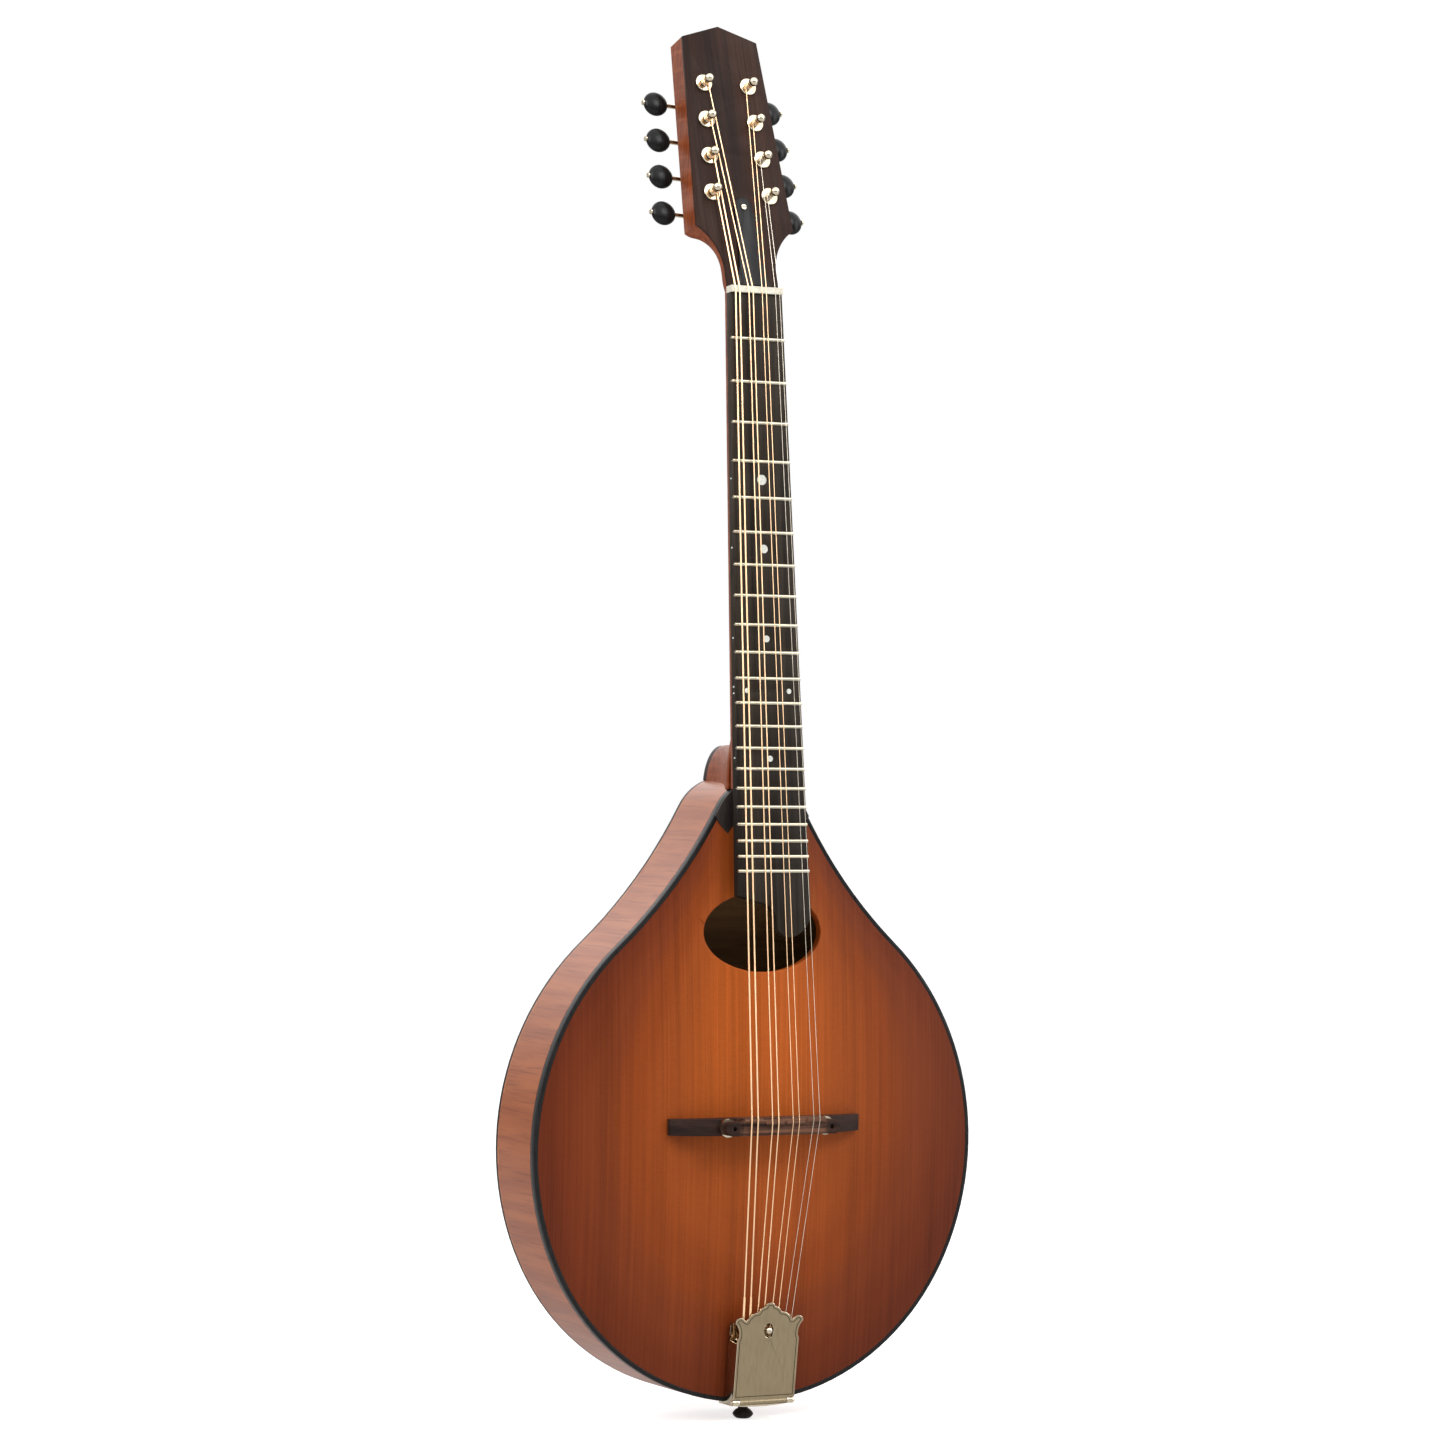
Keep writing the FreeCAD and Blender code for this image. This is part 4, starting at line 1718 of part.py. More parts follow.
gear_shape.translate(BACK * gear_front)
gear_pattern = feature("gear_pattern", gear_shape.removeSplitter())

gear_screw_shape = Part.makeCylinder(mm.gear_screw_radius, mm.gear_screw_height)
gear_slot = Part.makeBox(2 * mm.gear_screw_radius, mm.driver_slot, mm.driver_slot)
gear_slot.translate(Vector(-mm.gear_screw_radius, -mm.driver_slot / 2,
                           mm.gear_screw_height - mm.driver_slot))
gear_screw_shape = gear_screw_shape.cut(gear_slot)
gear_screw_shape.Placement = Placement(BACK * gear_back, Rotation(ACROSS, -90))
gear_screw = feature("gear_screw_pattern", gear_screw_shape)

bushing_body = part_body("bushing_pattern")
bushing_sketch = sketch(bushing_body, "bushing_profile", "XY_Plane", [[
    (mm.post_radius + mm.running_gap, -level_front),
    (mm.bushing_radius - mm.bushing_flange / 2, -level_front),
    (mm.bushing_radius, -mm.overlay_thickness - mm.bushing_flange / 2, mm.bushing_flange / 2),
    (mm.bushing_radius, -mm.overlay_thickness),
    (mm.sleeve_radius, -mm.overlay_thickness),
    (mm.sleeve_radius, mm.sleeve_length),
    (mm.post_radius + mm.running_gap, mm.sleeve_length),
]])
turned(bushing_body, bushing_sketch, "V_Axis")
doc.recompute()

plates = []
bushings = []
for number, (side, place) in enumerate(post_places, start=1):
    plate_place = place * Placement(BACK * mm.head_thickness, Rotation())
    blank = copy_of(plate_body, f"tuner_plate_blank_{number}", plate_place)
    bores = screw_bores[2 * number - 2:2 * number]
    plates.append(feature(f"tuner_plate_{number}", blank.Shape.cut(Part.makeCompound(bores))))
    bushings.append(copy_of(bushing_body, f"bushing_{number}", place))
    key_turn = Rotation() if side > 0 else Rotation(UP, 180)
    worm_place = place * Placement(Vector(0, worm_back, -mm.centre_distance), key_turn)
    key = [
        copy_of(worm_pattern, f"worm_{number}", worm_place),
        copy_of(button_body, f"button_{number}", worm_place),
        copy_of(button_screw, f"button_screw_{number}", worm_place),
    ]
    node(group(f"tuner_key_{number}", key))
    post = [
        copy_of(post_body, f"post_{number}", place),
        copy_of(gear_pattern, f"gear_{number}", place),
        copy_of(gear_screw, f"gear_screw_{number}", place),
    ]
    node(group(f"string_post_{number}", post))
node(group("tuner_plates", plates))
node(group("post_bushings", bushings))

small_screws = []
for number, place in enumerate(screw_places + [cover_screw_place], start=1):
    head_radius = mm.small_screw_head if number <= len(screw_places) else mm.cover_screw_head
    shank = Part.makeCylinder(mm.small_screw_shank, mm.small_screw_length)
    head = Part.makeCylinder(head_radius, mm.small_screw_height, UP * -mm.small_screw_height)
    slot = Part.makeBox(2 * head_radius, mm.driver_slot, mm.driver_slot)
    slot.translate(Vector(-head_radius, -mm.driver_slot / 2, -mm.small_screw_height))
    small_screws.append(feature(f"small_screw_{number}", shank.fuse(head).cut(slot), place))
node(group("small_screws", small_screws))

doc.recompute()

for thing in doc.Objects:
    if "Invalid" in thing.State or "Error" in thing.State:
        raise RuntimeError(f"{thing.Label} failed: {thing.State}")
for name, thing in nodes.items():
    shape = thing.Shape
    if shape.isNull() or not shape.isValid() or not shape.Solids:
        raise RuntimeError(f"{name} has no valid shape")
    shape.exportStep(f"parts/{name}.step")
print(len(nodes), "nodes")
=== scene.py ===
import json
import math

import bpy
from mathutils import Matrix, Vector

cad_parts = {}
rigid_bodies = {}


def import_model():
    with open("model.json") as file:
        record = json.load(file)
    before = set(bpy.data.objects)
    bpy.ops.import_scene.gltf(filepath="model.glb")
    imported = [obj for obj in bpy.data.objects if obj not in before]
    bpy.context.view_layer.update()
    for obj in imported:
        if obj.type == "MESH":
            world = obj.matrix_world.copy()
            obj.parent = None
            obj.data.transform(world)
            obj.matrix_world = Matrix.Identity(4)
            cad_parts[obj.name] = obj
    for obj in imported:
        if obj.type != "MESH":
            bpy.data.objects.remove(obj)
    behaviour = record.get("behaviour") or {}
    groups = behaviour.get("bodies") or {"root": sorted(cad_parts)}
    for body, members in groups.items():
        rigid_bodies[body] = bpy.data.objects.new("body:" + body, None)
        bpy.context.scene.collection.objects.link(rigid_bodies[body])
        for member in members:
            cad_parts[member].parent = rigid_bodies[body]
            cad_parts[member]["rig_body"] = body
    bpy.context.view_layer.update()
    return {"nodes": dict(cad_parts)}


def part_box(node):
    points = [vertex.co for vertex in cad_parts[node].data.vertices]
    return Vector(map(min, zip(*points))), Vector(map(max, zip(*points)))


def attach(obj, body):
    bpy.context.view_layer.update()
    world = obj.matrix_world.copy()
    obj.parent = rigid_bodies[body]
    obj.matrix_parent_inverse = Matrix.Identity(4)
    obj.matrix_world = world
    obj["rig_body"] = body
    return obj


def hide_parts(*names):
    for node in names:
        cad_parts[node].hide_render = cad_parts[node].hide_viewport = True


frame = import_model()

# The studio: a pale floor, a white surround and three soft lamps, on the right, above, and on the
# left for the ribs. Metal and lacquer mirror a surround that is bright behind and above the
# instrument. The camera stands a long way off on the bass side, level with the neck joint.
LENS = 111.88
SENSOR = 36.0
CAMERA_AZIMUTH = math.radians(-27.80)
CAMERA_RISE = math.radians(-0.359)
CAMERA_ROLL = math.radians(0.795)
CAMERA_REACH = 3.01538
CAMERA_AIM = Vector((-0.030751, -0.030, 0.457493))
NEAREST_SEEN = 0.1
FURTHEST_SEEN = 60.0
LAMPS = (("lamp_right", (2.5, -1.9, 1.25), (0.0, 0.0, 0.45), 0.8, 2.2, 33.0),
         ("lamp_top", (0.9, -2.5, 2.6), (0.0, 0.0, 0.35), 1.2, 1.2, 45.0),
         ("lamp_left", (-2.4, -1.0, 2.1), (0.0, 0.0, 0.40), 1.2, 1.8, 62.0))
SURROUND_LIGHT = 0.38
MIRRORED_IN_FRONT = 0.25
MIRRORED_BEHIND = 0.50
MIRRORED_ABOVE = 2.3
FLOOR_SHADE = 0.82
FLOOR_GLOW = 0.72
FLOOR_MIRRORED = 0.3
FLOOR_SIZE = 30.0
LOWEST = min(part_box(part)[0].z for part in frame["nodes"])


def step(tree, kind, inputs=None, **settings):
    """adds one node to a material and joins or sets its inputs"""
    made = tree.nodes.new("ShaderNode" + kind)
    for key, value in settings.items():
        setattr(made, key, value)
    for key, value in (inputs or {}).items():
        if isinstance(value, bpy.types.NodeSocket):
            tree.links.new(value, made.inputs[key])
        else:
            made.inputs[key].default_value = value
    return made


def paint(code):
    """a colour written as on a paint card, such as 8A4A20, made linear for the shader"""
    parts = [int(code[k:k + 2], 16) / 255 for k in (0, 2, 4)]
    return tuple(c / 12.92 if c <= 0.04045 else ((c + 0.055) / 1.055) ** 2.4 for c in parts) + (1,)


def looked_at(tree, ray):
    """1 for what is seen straight, in a mirror or through glass, and 0 for its light alone"""
    seen = step(tree, "Math", {0: ray.outputs["Is Camera Ray"], 1: ray.outputs["Is Glossy Ray"]},
                operation="MAXIMUM")
    seen = step(tree, "Math", {0: seen.outputs[0], 1: ray.outputs["Is Transmission Ray"]},
                operation="MAXIMUM")
    return seen.outputs[0]


away = Vector((math.sin(CAMERA_AZIMUTH) * math.cos(CAMERA_RISE),
               -math.cos(CAMERA_AZIMUTH) * math.cos(CAMERA_RISE),
               math.sin(CAMERA_RISE)))
level_right = (-away).cross(Vector((0, 0, 1))).normalized()
level_up = level_right.cross(-away)
right = level_right * math.cos(CAMERA_ROLL) + level_up * math.sin(CAMERA_ROLL)
upward = level_up * math.cos(CAMERA_ROLL) - level_right * math.sin(CAMERA_ROLL)
camera_data = bpy.data.cameras.new("studio_camera")
camera_data.lens = LENS
camera_data.sensor_width = SENSOR
camera_data.clip_start = NEAREST_SEEN
camera_data.clip_end = FURTHEST_SEEN
camera = bpy.data.objects.new("studio_camera", camera_data)
turn = Matrix((right, upward, away)).transposed().to_4x4()
camera.matrix_world = Matrix.Translation(CAMERA_AIM + away * CAMERA_REACH) @ turn
bpy.context.scene.collection.objects.link(camera)
bpy.context.scene.camera = camera
bpy.context.scene.view_settings.view_transform = "Standard"

for lamp_name, place, aim, width, tall, power in LAMPS:
    lamp_data = bpy.data.lights.new(lamp_name, "AREA")
    lamp_data.shape = "RECTANGLE"
    lamp_data.size = width
    lamp_data.size_y = tall
    lamp_data.energy = power
    lamp = bpy.data.objects.new(lamp_name, lamp_data)
    lamp.location = place
    lamp.rotation_euler = (Vector(aim) - Vector(place)).to_track_quat("-Z", "Y").to_euler()
    bpy.context.scene.collection.objects.link(lamp)

surround = bpy.data.worlds.new("white_surround")
bpy.context.scene.world = surround
surround.use_nodes = True
tree = surround.node_tree
ray = step(tree, "LightPath")
seen = looked_at(tree, ray)
toward = step(tree, "SeparateXYZ", {"Vector": step(tree, "TexCoord").outputs["Generated"]})
behind = step(tree, "MapRange", {"Value": toward.outputs["Y"], "From Min": -0.7, "From Max": 0.8,
                                 "To Min": MIRRORED_IN_FRONT, "To Max": MIRRORED_BEHIND})
above = step(tree, "MapRange", {"Value": toward.outputs["Z"], "From Min": 0.05, "From Max": 0.5,
                                "To Min": 0.0, "To Max": MIRRORED_ABOVE})
mirror = step(tree, "Math", {0: behind.outputs["Result"], 1: above.outputs["Result"]},
              operation="ADD")
level = step(tree, "MapRange", {"Value": ray.outputs["Is Camera Ray"], "To Max": 1.0})
tree.links.new(mirror.outputs[0], level.inputs["To Min"])
soft = step(tree, "MapRange", {"Value": seen, "To Min": SURROUND_LIGHT})
tree.links.new(level.outputs["Result"], soft.inputs["To Max"])
tree.links.new(soft.outputs["Result"], tree.nodes["Background"].inputs["Strength"])
tree.nodes["Background"].inputs["Color"].default_value = (1, 1, 1, 1)

bpy.ops.object.select_all(action="DESELECT")
bpy.ops.mesh.primitive_plane_add(size=FLOOR_SIZE, location=(0, 0, LOWEST))
floor = bpy.context.object
floor.name = "studio_floor"
floor_paint = bpy.data.materials.new("floor_paint")
floor_paint.use_nodes = True
tree = floor_paint.node_tree
shader = tree.nodes["Principled BSDF"]
shader.inputs["Base Color"].default_value = (FLOOR_SHADE, FLOOR_SHADE, FLOOR_SHADE, 1)
shader.inputs["Roughness"].default_value = 0.9
shader.inputs["Specular IOR Level"].default_value = 0.1
shader.inputs["Emission Color"].default_value = (1, 1, 1, 1)
ray = step(tree, "LightPath")
seen = looked_at(tree, ray)
glow = step(tree, "MapRange", {"Value": ray.outputs["Is Camera Ray"], "To Min": FLOOR_MIRRORED,
                               "To Max": FLOOR_GLOW})
glow = step(tree, "Math", {0: seen, 1: glow.outputs["Result"]}, operation="MULTIPLY")
tree.links.new(glow.outputs[0], shader.inputs["Emission Strength"])
floor.data.materials.append(floor_paint)


# Soundboard: two bookmatched leaves of close-grained spruce, carved to a low arch, stained amber
# in the middle and shaded to dark red-brown at the edge, under a thin satin lacquer.
# The oval hole's rim is eased by hand, and the inner face is bare wood.
WELD = 0.000002
SOFT_CREASE = 32.0
EASED_FROM = 40.0
HOLE_EASE = 0.0009
HOLE_CENTRE = 0.317
HOLE_HALF_WIDTH = 0.0445
HOLE_HALF_HEIGHT = 0.027
HOLE_NEAR = 1.2
TURNED_FRONT = -0.6
TURNED_BACK = 0.5
TURNED_SIDEWAYS = 0.4
BURST_CENTRE = 0.225
BURST_FALL = 0.238
BURST_WIDE = 0.1663
BURST_TALL = 0.4205
BURST_HALF_WIDTHS = ((0.165, 0.1663), (0.200, 0.1640), (0.240, 0.1530), (0.280, 0.1300),
                     (0.3085, 0.1054), (0.340, 0.0790), (0.371, 0.0560), (0.4205, 0.0420))
BURST_SHADES = ((0.12, "A8521D"), (0.45, "91451A"), (0.62, "823B15"), (0.77, "723317"),
                (0.89, "672C13"), (1.0, "5C2612"))


def take_up(piece):
    """selects one piece and nothing else"""
    bpy.ops.object.select_all(action="DESELECT")
    piece.select_set(True)
    bpy.context.view_layer.objects.active = piece


def dressed(part, finish, easing=0.0, crease=SOFT_CREASE):
    """a welded copy of a fitted part, with its sharp edges eased, ready to be finished"""
    source = frame["nodes"][part]
    piece = bpy.data.objects.new(part + "_finished", source.data.copy())
    bpy.context.scene.collection.objects.link(piece)
    take_up(piece)
    if piece.data.has_custom_normals:
        bpy.ops.mesh.customdata_custom_splitnormals_clear()
    bpy.ops.object.mode_set(mode="EDIT")
    bpy.ops.mesh.select_all(action="SELECT")
    bpy.ops.mesh.remove_doubles(threshold=WELD)
    if easing:
        bpy.ops.mesh.dissolve_limited(angle_limit=math.radians(0.4))
    bpy.ops.object.mode_set(mode="OBJECT")
    if easing:
        eased = piece.modifiers.new("eased_edges", "BEVEL")
        eased.width = easing
        eased.segments = 2
        eased.limit_method = "ANGLE"
        eased.angle_limit = math.radians(EASED_FROM)
        eased.miter_outer = "MITER_ARC"
        bpy.ops.object.modifier_apply(modifier="eased_edges")
    bpy.ops.object.shade_smooth_by_angle(angle=math.radians(crease))
    piece.data.materials.clear()
    piece.data.materials.append(finish)
    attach(piece, source["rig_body"])
    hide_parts(part)
    return piece


def new_finish(name, roughness, metal=0.0, shine=0.12):
    """a fresh material, with the values that are the same all over it"""
    finish = bpy.data.materials.new(name)
    finish.use_nodes = True
    shader = finish.node_tree.nodes["Principled BSDF"]
    shader.inputs["Roughness"].default_value = roughness
    shader.inputs["Metallic"].default_value = metal
    shader.inputs["Specular IOR Level"].default_value = 0.5 if metal else shine
    return finish, finish.node_tree, shader


def figure(tree, per_metre, detail=3.0, rough=0.55, bend=0.0, where=None):
    """noise with so many spots to the metre along x, y and z"""
    if where is None:
        where = step(tree, "TexCoord").outputs["Object"]
    scaled = step(tree, "Mapping", {"Vector": where, "Scale": per_metre})
    return step(tree, "TexNoise", {"Vector": scaled.outputs["Vector"], "Scale": 1.0,
                                   "Detail": detail, "Roughness": rough,
                                   "Distortion": bend}).outputs["Fac"]


def between(tree, value, low, high, to_low=0.0, to_high=1.0):
    """a value carried from one span to another, kept inside it"""
    return step(tree, "MapRange", {"Value": value, "From Min": low, "From Max": high,
                                   "To Min": to_low, "To Max": to_high}).outputs["Result"]


def mixed(tree, amount, first, second, how="MIX"):
    """two colours mixed, or one laid over the other"""
    made = step(tree, "Mix", data_type="RGBA", blend_type=how)
    for slot, value in ((0, amount), (6, first), (7, second)):
        if isinstance(value, bpy.types.NodeSocket):
            tree.links.new(value, made.inputs[slot])
        else:
            made.inputs[slot].default_value = value
    return made.outputs[2]


def worked(tree, how, first, second):
    """one sum on two numbers"""
    return step(tree, "Math", {0: first, 1: second}, operation=how).outputs[0]


def relief(tree, shader, height, depth):
    """raises the surface by a pattern, so many metres deep"""
    bump = step(tree, "Bump", {"Height": height, "Strength": 1.0, "Distance": depth})
    tree.links.new(bump.outputs["Normal"], shader.inputs["Normal"])


def bare_wood(name, pale, dark, along):
    """unfinished wood, with its grain running along z, or x where along is x"""
    finish, tree, shader = new_finish(name, 0.75)
    stretch = (420.0, 300.0, 9.0) if along == "z" else (9.0, 300.0, 420.0)
    fine = figure(tree, stretch, detail=4.0)
    wide = figure(tree, tuple(s / 9 for s in stretch), detail=2.0)
    amount = between(tree, worked(tree, "ADD", fine, wide), 0.75, 1.25)
    tree.links.new(mixed(tree, amount, paint(dark), paint(pale)), shader.inputs["Base Color"])
    relief(tree, shader, fine, 0.00008)
    return finish


lacquered_spruce, tree, shader = new_finish("lacquered_spruce", 0.4, shine=0.08)
shader.inputs["Coat Weight"].default_value = 0.03
shader.inputs["Coat Roughness"].default_value = 0.3
where = step(tree, "TexCoord").outputs["Object"]
apart = step(tree, "SeparateXYZ", {"Vector": where})
side = worked(tree, "ABSOLUTE", apart.outputs["X"], 0.0)
height = apart.outputs["Z"]
widths = step(tree, "FloatCurve", {"Value": worked(tree, "DIVIDE", height, BURST_TALL)})
curve = widths.mapping.curves[0]
curve.points[0].location = (0.0, 1.0)
curve.points[1].location = (1.0, BURST_HALF_WIDTHS[-1][1] / BURST_WIDE)
for up, half in BURST_HALF_WIDTHS[:-1]:
    curve.points.new(up / BURST_TALL, half / BURST_WIDE)
widths.mapping.update()
across = worked(tree, "DIVIDE", worked(tree, "DIVIDE", side, BURST_WIDE), widths.outputs["Value"])
below = worked(tree, "MAXIMUM", worked(tree, "SUBTRACT", BURST_CENTRE, height), 0.0)
below = worked(tree, "DIVIDE", below, BURST_FALL)
out = worked(tree, "SQRT", worked(tree, "ADD", worked(tree, "MULTIPLY", across, across),
                                  worked(tree, "MULTIPLY", below, below)), 0.0)
cloud = figure(tree, (9.0, 9.0, 5.0), detail=1.0)
out = worked(tree, "ADD", out, between(tree, cloud, 0.3, 0.7, -0.05, 0.05))
burst = step(tree, "ValToRGB", {"Fac": out})
burst.color_ramp.interpolation = "EASE"
for stop, (place, shade) in ((0, BURST_SHADES[0]), (1, BURST_SHADES[-1])):
    burst.color_ramp.elements[stop].position = place
    burst.color_ramp.elements[stop].color = paint(shade)
for place, shade in BURST_SHADES[1:-1]:
    burst.color_ramp.elements.new(place).color = paint(shade)
rings = figure(tree, (760.0, 40.0, 5.0), detail=3.0, rough=0.6)
streaks = figure(tree, (70.0, 8.0, 1.6), detail=3.0, rough=0.6)
silk = figure(tree, (240.0, 60.0, 800.0), detail=2.0)
tone = worked(tree, "ADD", between(tree, rings, 0.3, 0.7, 0.84, 1.14),
              between(tree, streaks, 0.3, 0.7, -0.09, 0.09))
tone = worked(tree, "ADD", tone, between(tree, silk, 0.35, 0.7, -0.035, 0.035))
tree.links.new(mixed(tree, 1.0, burst.outputs["Color"], tone, "MULTIPLY"),
               shader.inputs["Base Color"])
tree.links.new(between(tree, streaks, 0.3, 0.7, 0.36, 0.46), shader.inputs["Roughness"])
relief(tree, shader, rings, 0.00004)

def second_finish(piece, finish, belongs):
    """gives one more finish to the faces that it belongs on"""
    piece.data.materials.append(finish)
    for face in piece.data.polygons:
        if belongs(face):
            face.material_index = len(piece.data.materials) - 1


def round_rim(piece, facing, walls, width, segments, crease, finish=-1):
    """rounds the edges where the faces in front meet the walls, both given by their edges"""
    weights = piece.data.attributes.new("bevel_weight_edge", "FLOAT", "EDGE")
    for edge in piece.data.edges:
        if edge.key in facing and edge.key in walls:
            weights.data[edge.index].value = 1.0
    rounded = piece.modifiers.new("rim", "BEVEL")
    rounded.width = width
    rounded.segments = segments
    rounded.limit_method = "WEIGHT"
    rounded.material = finish
    take_up(piece)
    bpy.ops.object.modifier_apply(modifier="rim")
    bpy.ops.object.shade_smooth_by_angle(angle=math.radians(crease))


pale_spruce = bare_wood("pale_spruce", "B9925F", "9A7446", "z")
soundboard = dressed("soundboard", lacquered_spruce)
second_finish(soundboard, pale_spruce, lambda face: face.normal.y > TURNED_BACK)
facing, walls = set(), set()
for face in soundboard.data.polygons:
    middle = face.center
    reach = math.hypot(middle.x / HOLE_HALF_WIDTH, (middle.z - HOLE_CENTRE) / HOLE_HALF_HEIGHT)
    if face.normal.y < TURNED_FRONT:
        facing.update(face.edge_keys)
    elif abs(face.normal.y) < TURNED_SIDEWAYS and reach < HOLE_NEAR:
        walls.update(face.edge_keys)
round_rim(soundboard, facing, walls, HOLE_EASE, 3, 34.0)


# Ribs: two thin strips of flamed maple, bent round hot iron, stained red-brown and lacquered.
# The flame runs across the strip from front to back. The inside is bare wood, its colour darkened
# as painted shade for the dark inside of the body.
BODY_MIDDLE = Vector((0.0, 0.0, 0.18))
RIB_EDGE_TURN = 0.3
FLAME_FALL = 0.22


def flamed_maple(name, deep, mid, light, fine_scale, band_scale, mirrored=False):
    """stained maple whose flame crosses the grain"""
    finish, tree, shader = new_finish(name, 0.34, shine=0.22)
    shader.inputs["Coat Weight"].default_value = 0.07
    shader.inputs["Coat Roughness"].default_value = 0.18
    where = step(tree, "TexCoord").outputs["Object"]
    if mirrored:
        apart = step(tree, "SeparateXYZ", {"Vector": where})
        side = worked(tree, "ABSOLUTE", apart.outputs["X"], 0.0)
        slope = worked(tree, "ADD", apart.outputs["Z"], worked(tree, "MULTIPLY", side, FLAME_FALL))
        where = step(tree, "CombineXYZ", {"X": side, "Y": apart.outputs["Y"],
                                          "Z": slope}).outputs["Vector"]
    bands = figure(tree, band_scale, detail=2.0, where=where)
    fine = figure(tree, fine_scale, detail=3.0, rough=0.6, where=where)
    cloud = figure(tree, (7.0, 7.0, 7.0), detail=1.0, where=where)
    ground = mixed(tree, between(tree, bands, 0.38, 0.62), paint(mid), paint(light))
    tree.links.new(mixed(tree, between(tree, fine, 0.52, 0.72, 0.0, 0.75), ground, paint(deep)),
                   shader.inputs["Base Color"])
    tree.links.new(between(tree, cloud, 0.3, 0.7, 0.29, 0.4), shader.inputs["Roughness"])
    relief(tree, shader, fine, 0.00002)
    return finish


rib_maple = flamed_maple("rib_maple", "6A3319", "8A4724", "9C562E",
                         (620.0, 26.0, 620.0), (110.0, 9.0, 110.0))
# bare maple for the faces inside the ribs and back, its colour darkened as painted shade for the
# dark inside of the body
inner_maple_painted_shade = bare_wood("inner_maple_painted_shade", "8A6A45", "6E5032", "x")


def faces_inwards(face):
    """whether a face of a rib looks at the air in the body"""
    inwards = BODY_MIDDLE - face.center
    inwards.y = 0.0
    return abs(face.normal.y) < RIB_EDGE_TURN and face.normal.dot(inwards) > 0


for part in ("rib_bass", "rib_treble"):
    second_finish(dressed(part, rib_maple), inner_maple_painted_shade, faces_inwards)


# Back: two matched halves of flamed maple, carved to a low arch. The flame falls away from the
# centre joint on both sides. The face inside the body is bare wood, its colour darkened as painted
# shade for the dark inside of the body.
back_maple = flamed_maple("back_maple", "74381C", "95502E", "AC6A42",
                          (60.0, 60.0, 620.0), (14.0, 14.0, 105.0), mirrored=True)
second_finish(dressed("back_plate", back_maple), inner_maple_painted_shade,
              lambda face: face.normal.y < -RIB_EDGE_TURN)


# Binding and caps: strips of black plastic let into the edges of the top and the back, the two
# caps beside the fingerboard and the one on the heel, all scraped flush and polished.
def black_stock(name, colour, roughness):
    """black plastic or dyed wood, with the faint streaks that polishing leaves"""
    finish, tree, shader = new_finish(name, roughness)
    scuffs = figure(tree, (500.0, 500.0, 90.0), detail=4.0)
    tone = between(tree, scuffs, 0.3, 0.7, 0.75, 1.3)
    tree.links.new(mixed(tree, 1.0, paint(colour), tone, "MULTIPLY"),
                   shader.inputs["Base Color"])
    tree.links.new(between(tree, scuffs, 0.3, 0.7, roughness - 0.06, roughness + 0.1),
                   shader.inputs["Roughness"])
    relief(tree, shader, scuffs, 0.00001)
    return finish


binding_black = black_stock("binding_black", "1C1B1B", 0.3)
dressed("top_binding", binding_black, easing=0.0004)
dressed("back_binding", binding_black, easing=0.0004)
cap_black = black_stock("cap_black", "2B2523", 0.42)
dressed("top_caps", cap_black, easing=0.0004)
dressed("heel_cap", cap_black, easing=0.0005)


# Inside the body: lining strips, end blocks, tone bars and back braces of pale wood, glued in
# and left bare.
brace_wood = bare_wood("brace_wood", "C7A26C", "A98752", "x")
block_wood = bare_wood("block_wood", "B4905F", "937047", "z")
dressed("linings", brace_wood)
dressed("back_braces", brace_wood)
dressed("tone_bars", block_wood)
dressed("neck_block", block_wood)
dressed("tail_block", block_wood)


# Neck: one piece of maple from the peghead to the heel, stained red-brown, its grain running
# along it with a little flame across. It carries the truss rod and the rod's nut.
neck_maple, tree, shader = new_finish("neck_maple", 0.36, shine=0.12)
shader.inputs["Coat Weight"].default_value = 0.05
shader.inputs["Coat Roughness"].default_value = 0.2
grain = figure(tree, (520.0, 520.0, 7.0), detail=4.0, rough=0.6)
flame = figure(tree, (30.0, 30.0, 190.0), detail=2.0)
ground = mixed(tree, between(tree, grain, 0.35, 0.68), paint("8A421D"), paint("5A2710"))
tree.links.new(mixed(tree, between(tree, flame, 0.48, 0.66, 0.0, 0.35), ground, paint("A05C38")),
               shader.inputs["Base Color"])
tree.links.new(between(tree, grain, 0.3, 0.7, 0.32, 0.42), shader.inputs["Roughness"])
relief(tree, shader, grain, 0.00003)
dressed("neck", neck_maple)


def metal(name, colour, roughness, brushing, depth=0.000006):
    """a bare or plated metal with the fine marks of its working"""
    finish, tree, shader = new_finish(name, roughness, metal=1.0)
    marks = figure(tree, brushing, detail=4.0, rough=0.65)
    tone = between(tree, marks, 0.3, 0.7, 0.88, 1.1)
    tree.links.new(mixed(tree, 1.0, paint(colour), tone, "MULTIPLY"),
                   shader.inputs["Base Color"])
    tree.links.new(between(tree, marks, 0.3, 0.7, roughness * 0.75, roughness * 1.3),
                   shader.inputs["Roughness"])
    relief(tree, shader, marks, depth)
    return finish


rod_steel = metal("rod_steel", "A9A9A6", 0.3, (900.0, 900.0, 60.0))
nut_brass = metal("nut_brass", "C2A25C", 0.28, (700.0, 700.0, 200.0))
dressed("truss_rod", rod_steel)
dressed("truss_rod_nut", nut_brass)


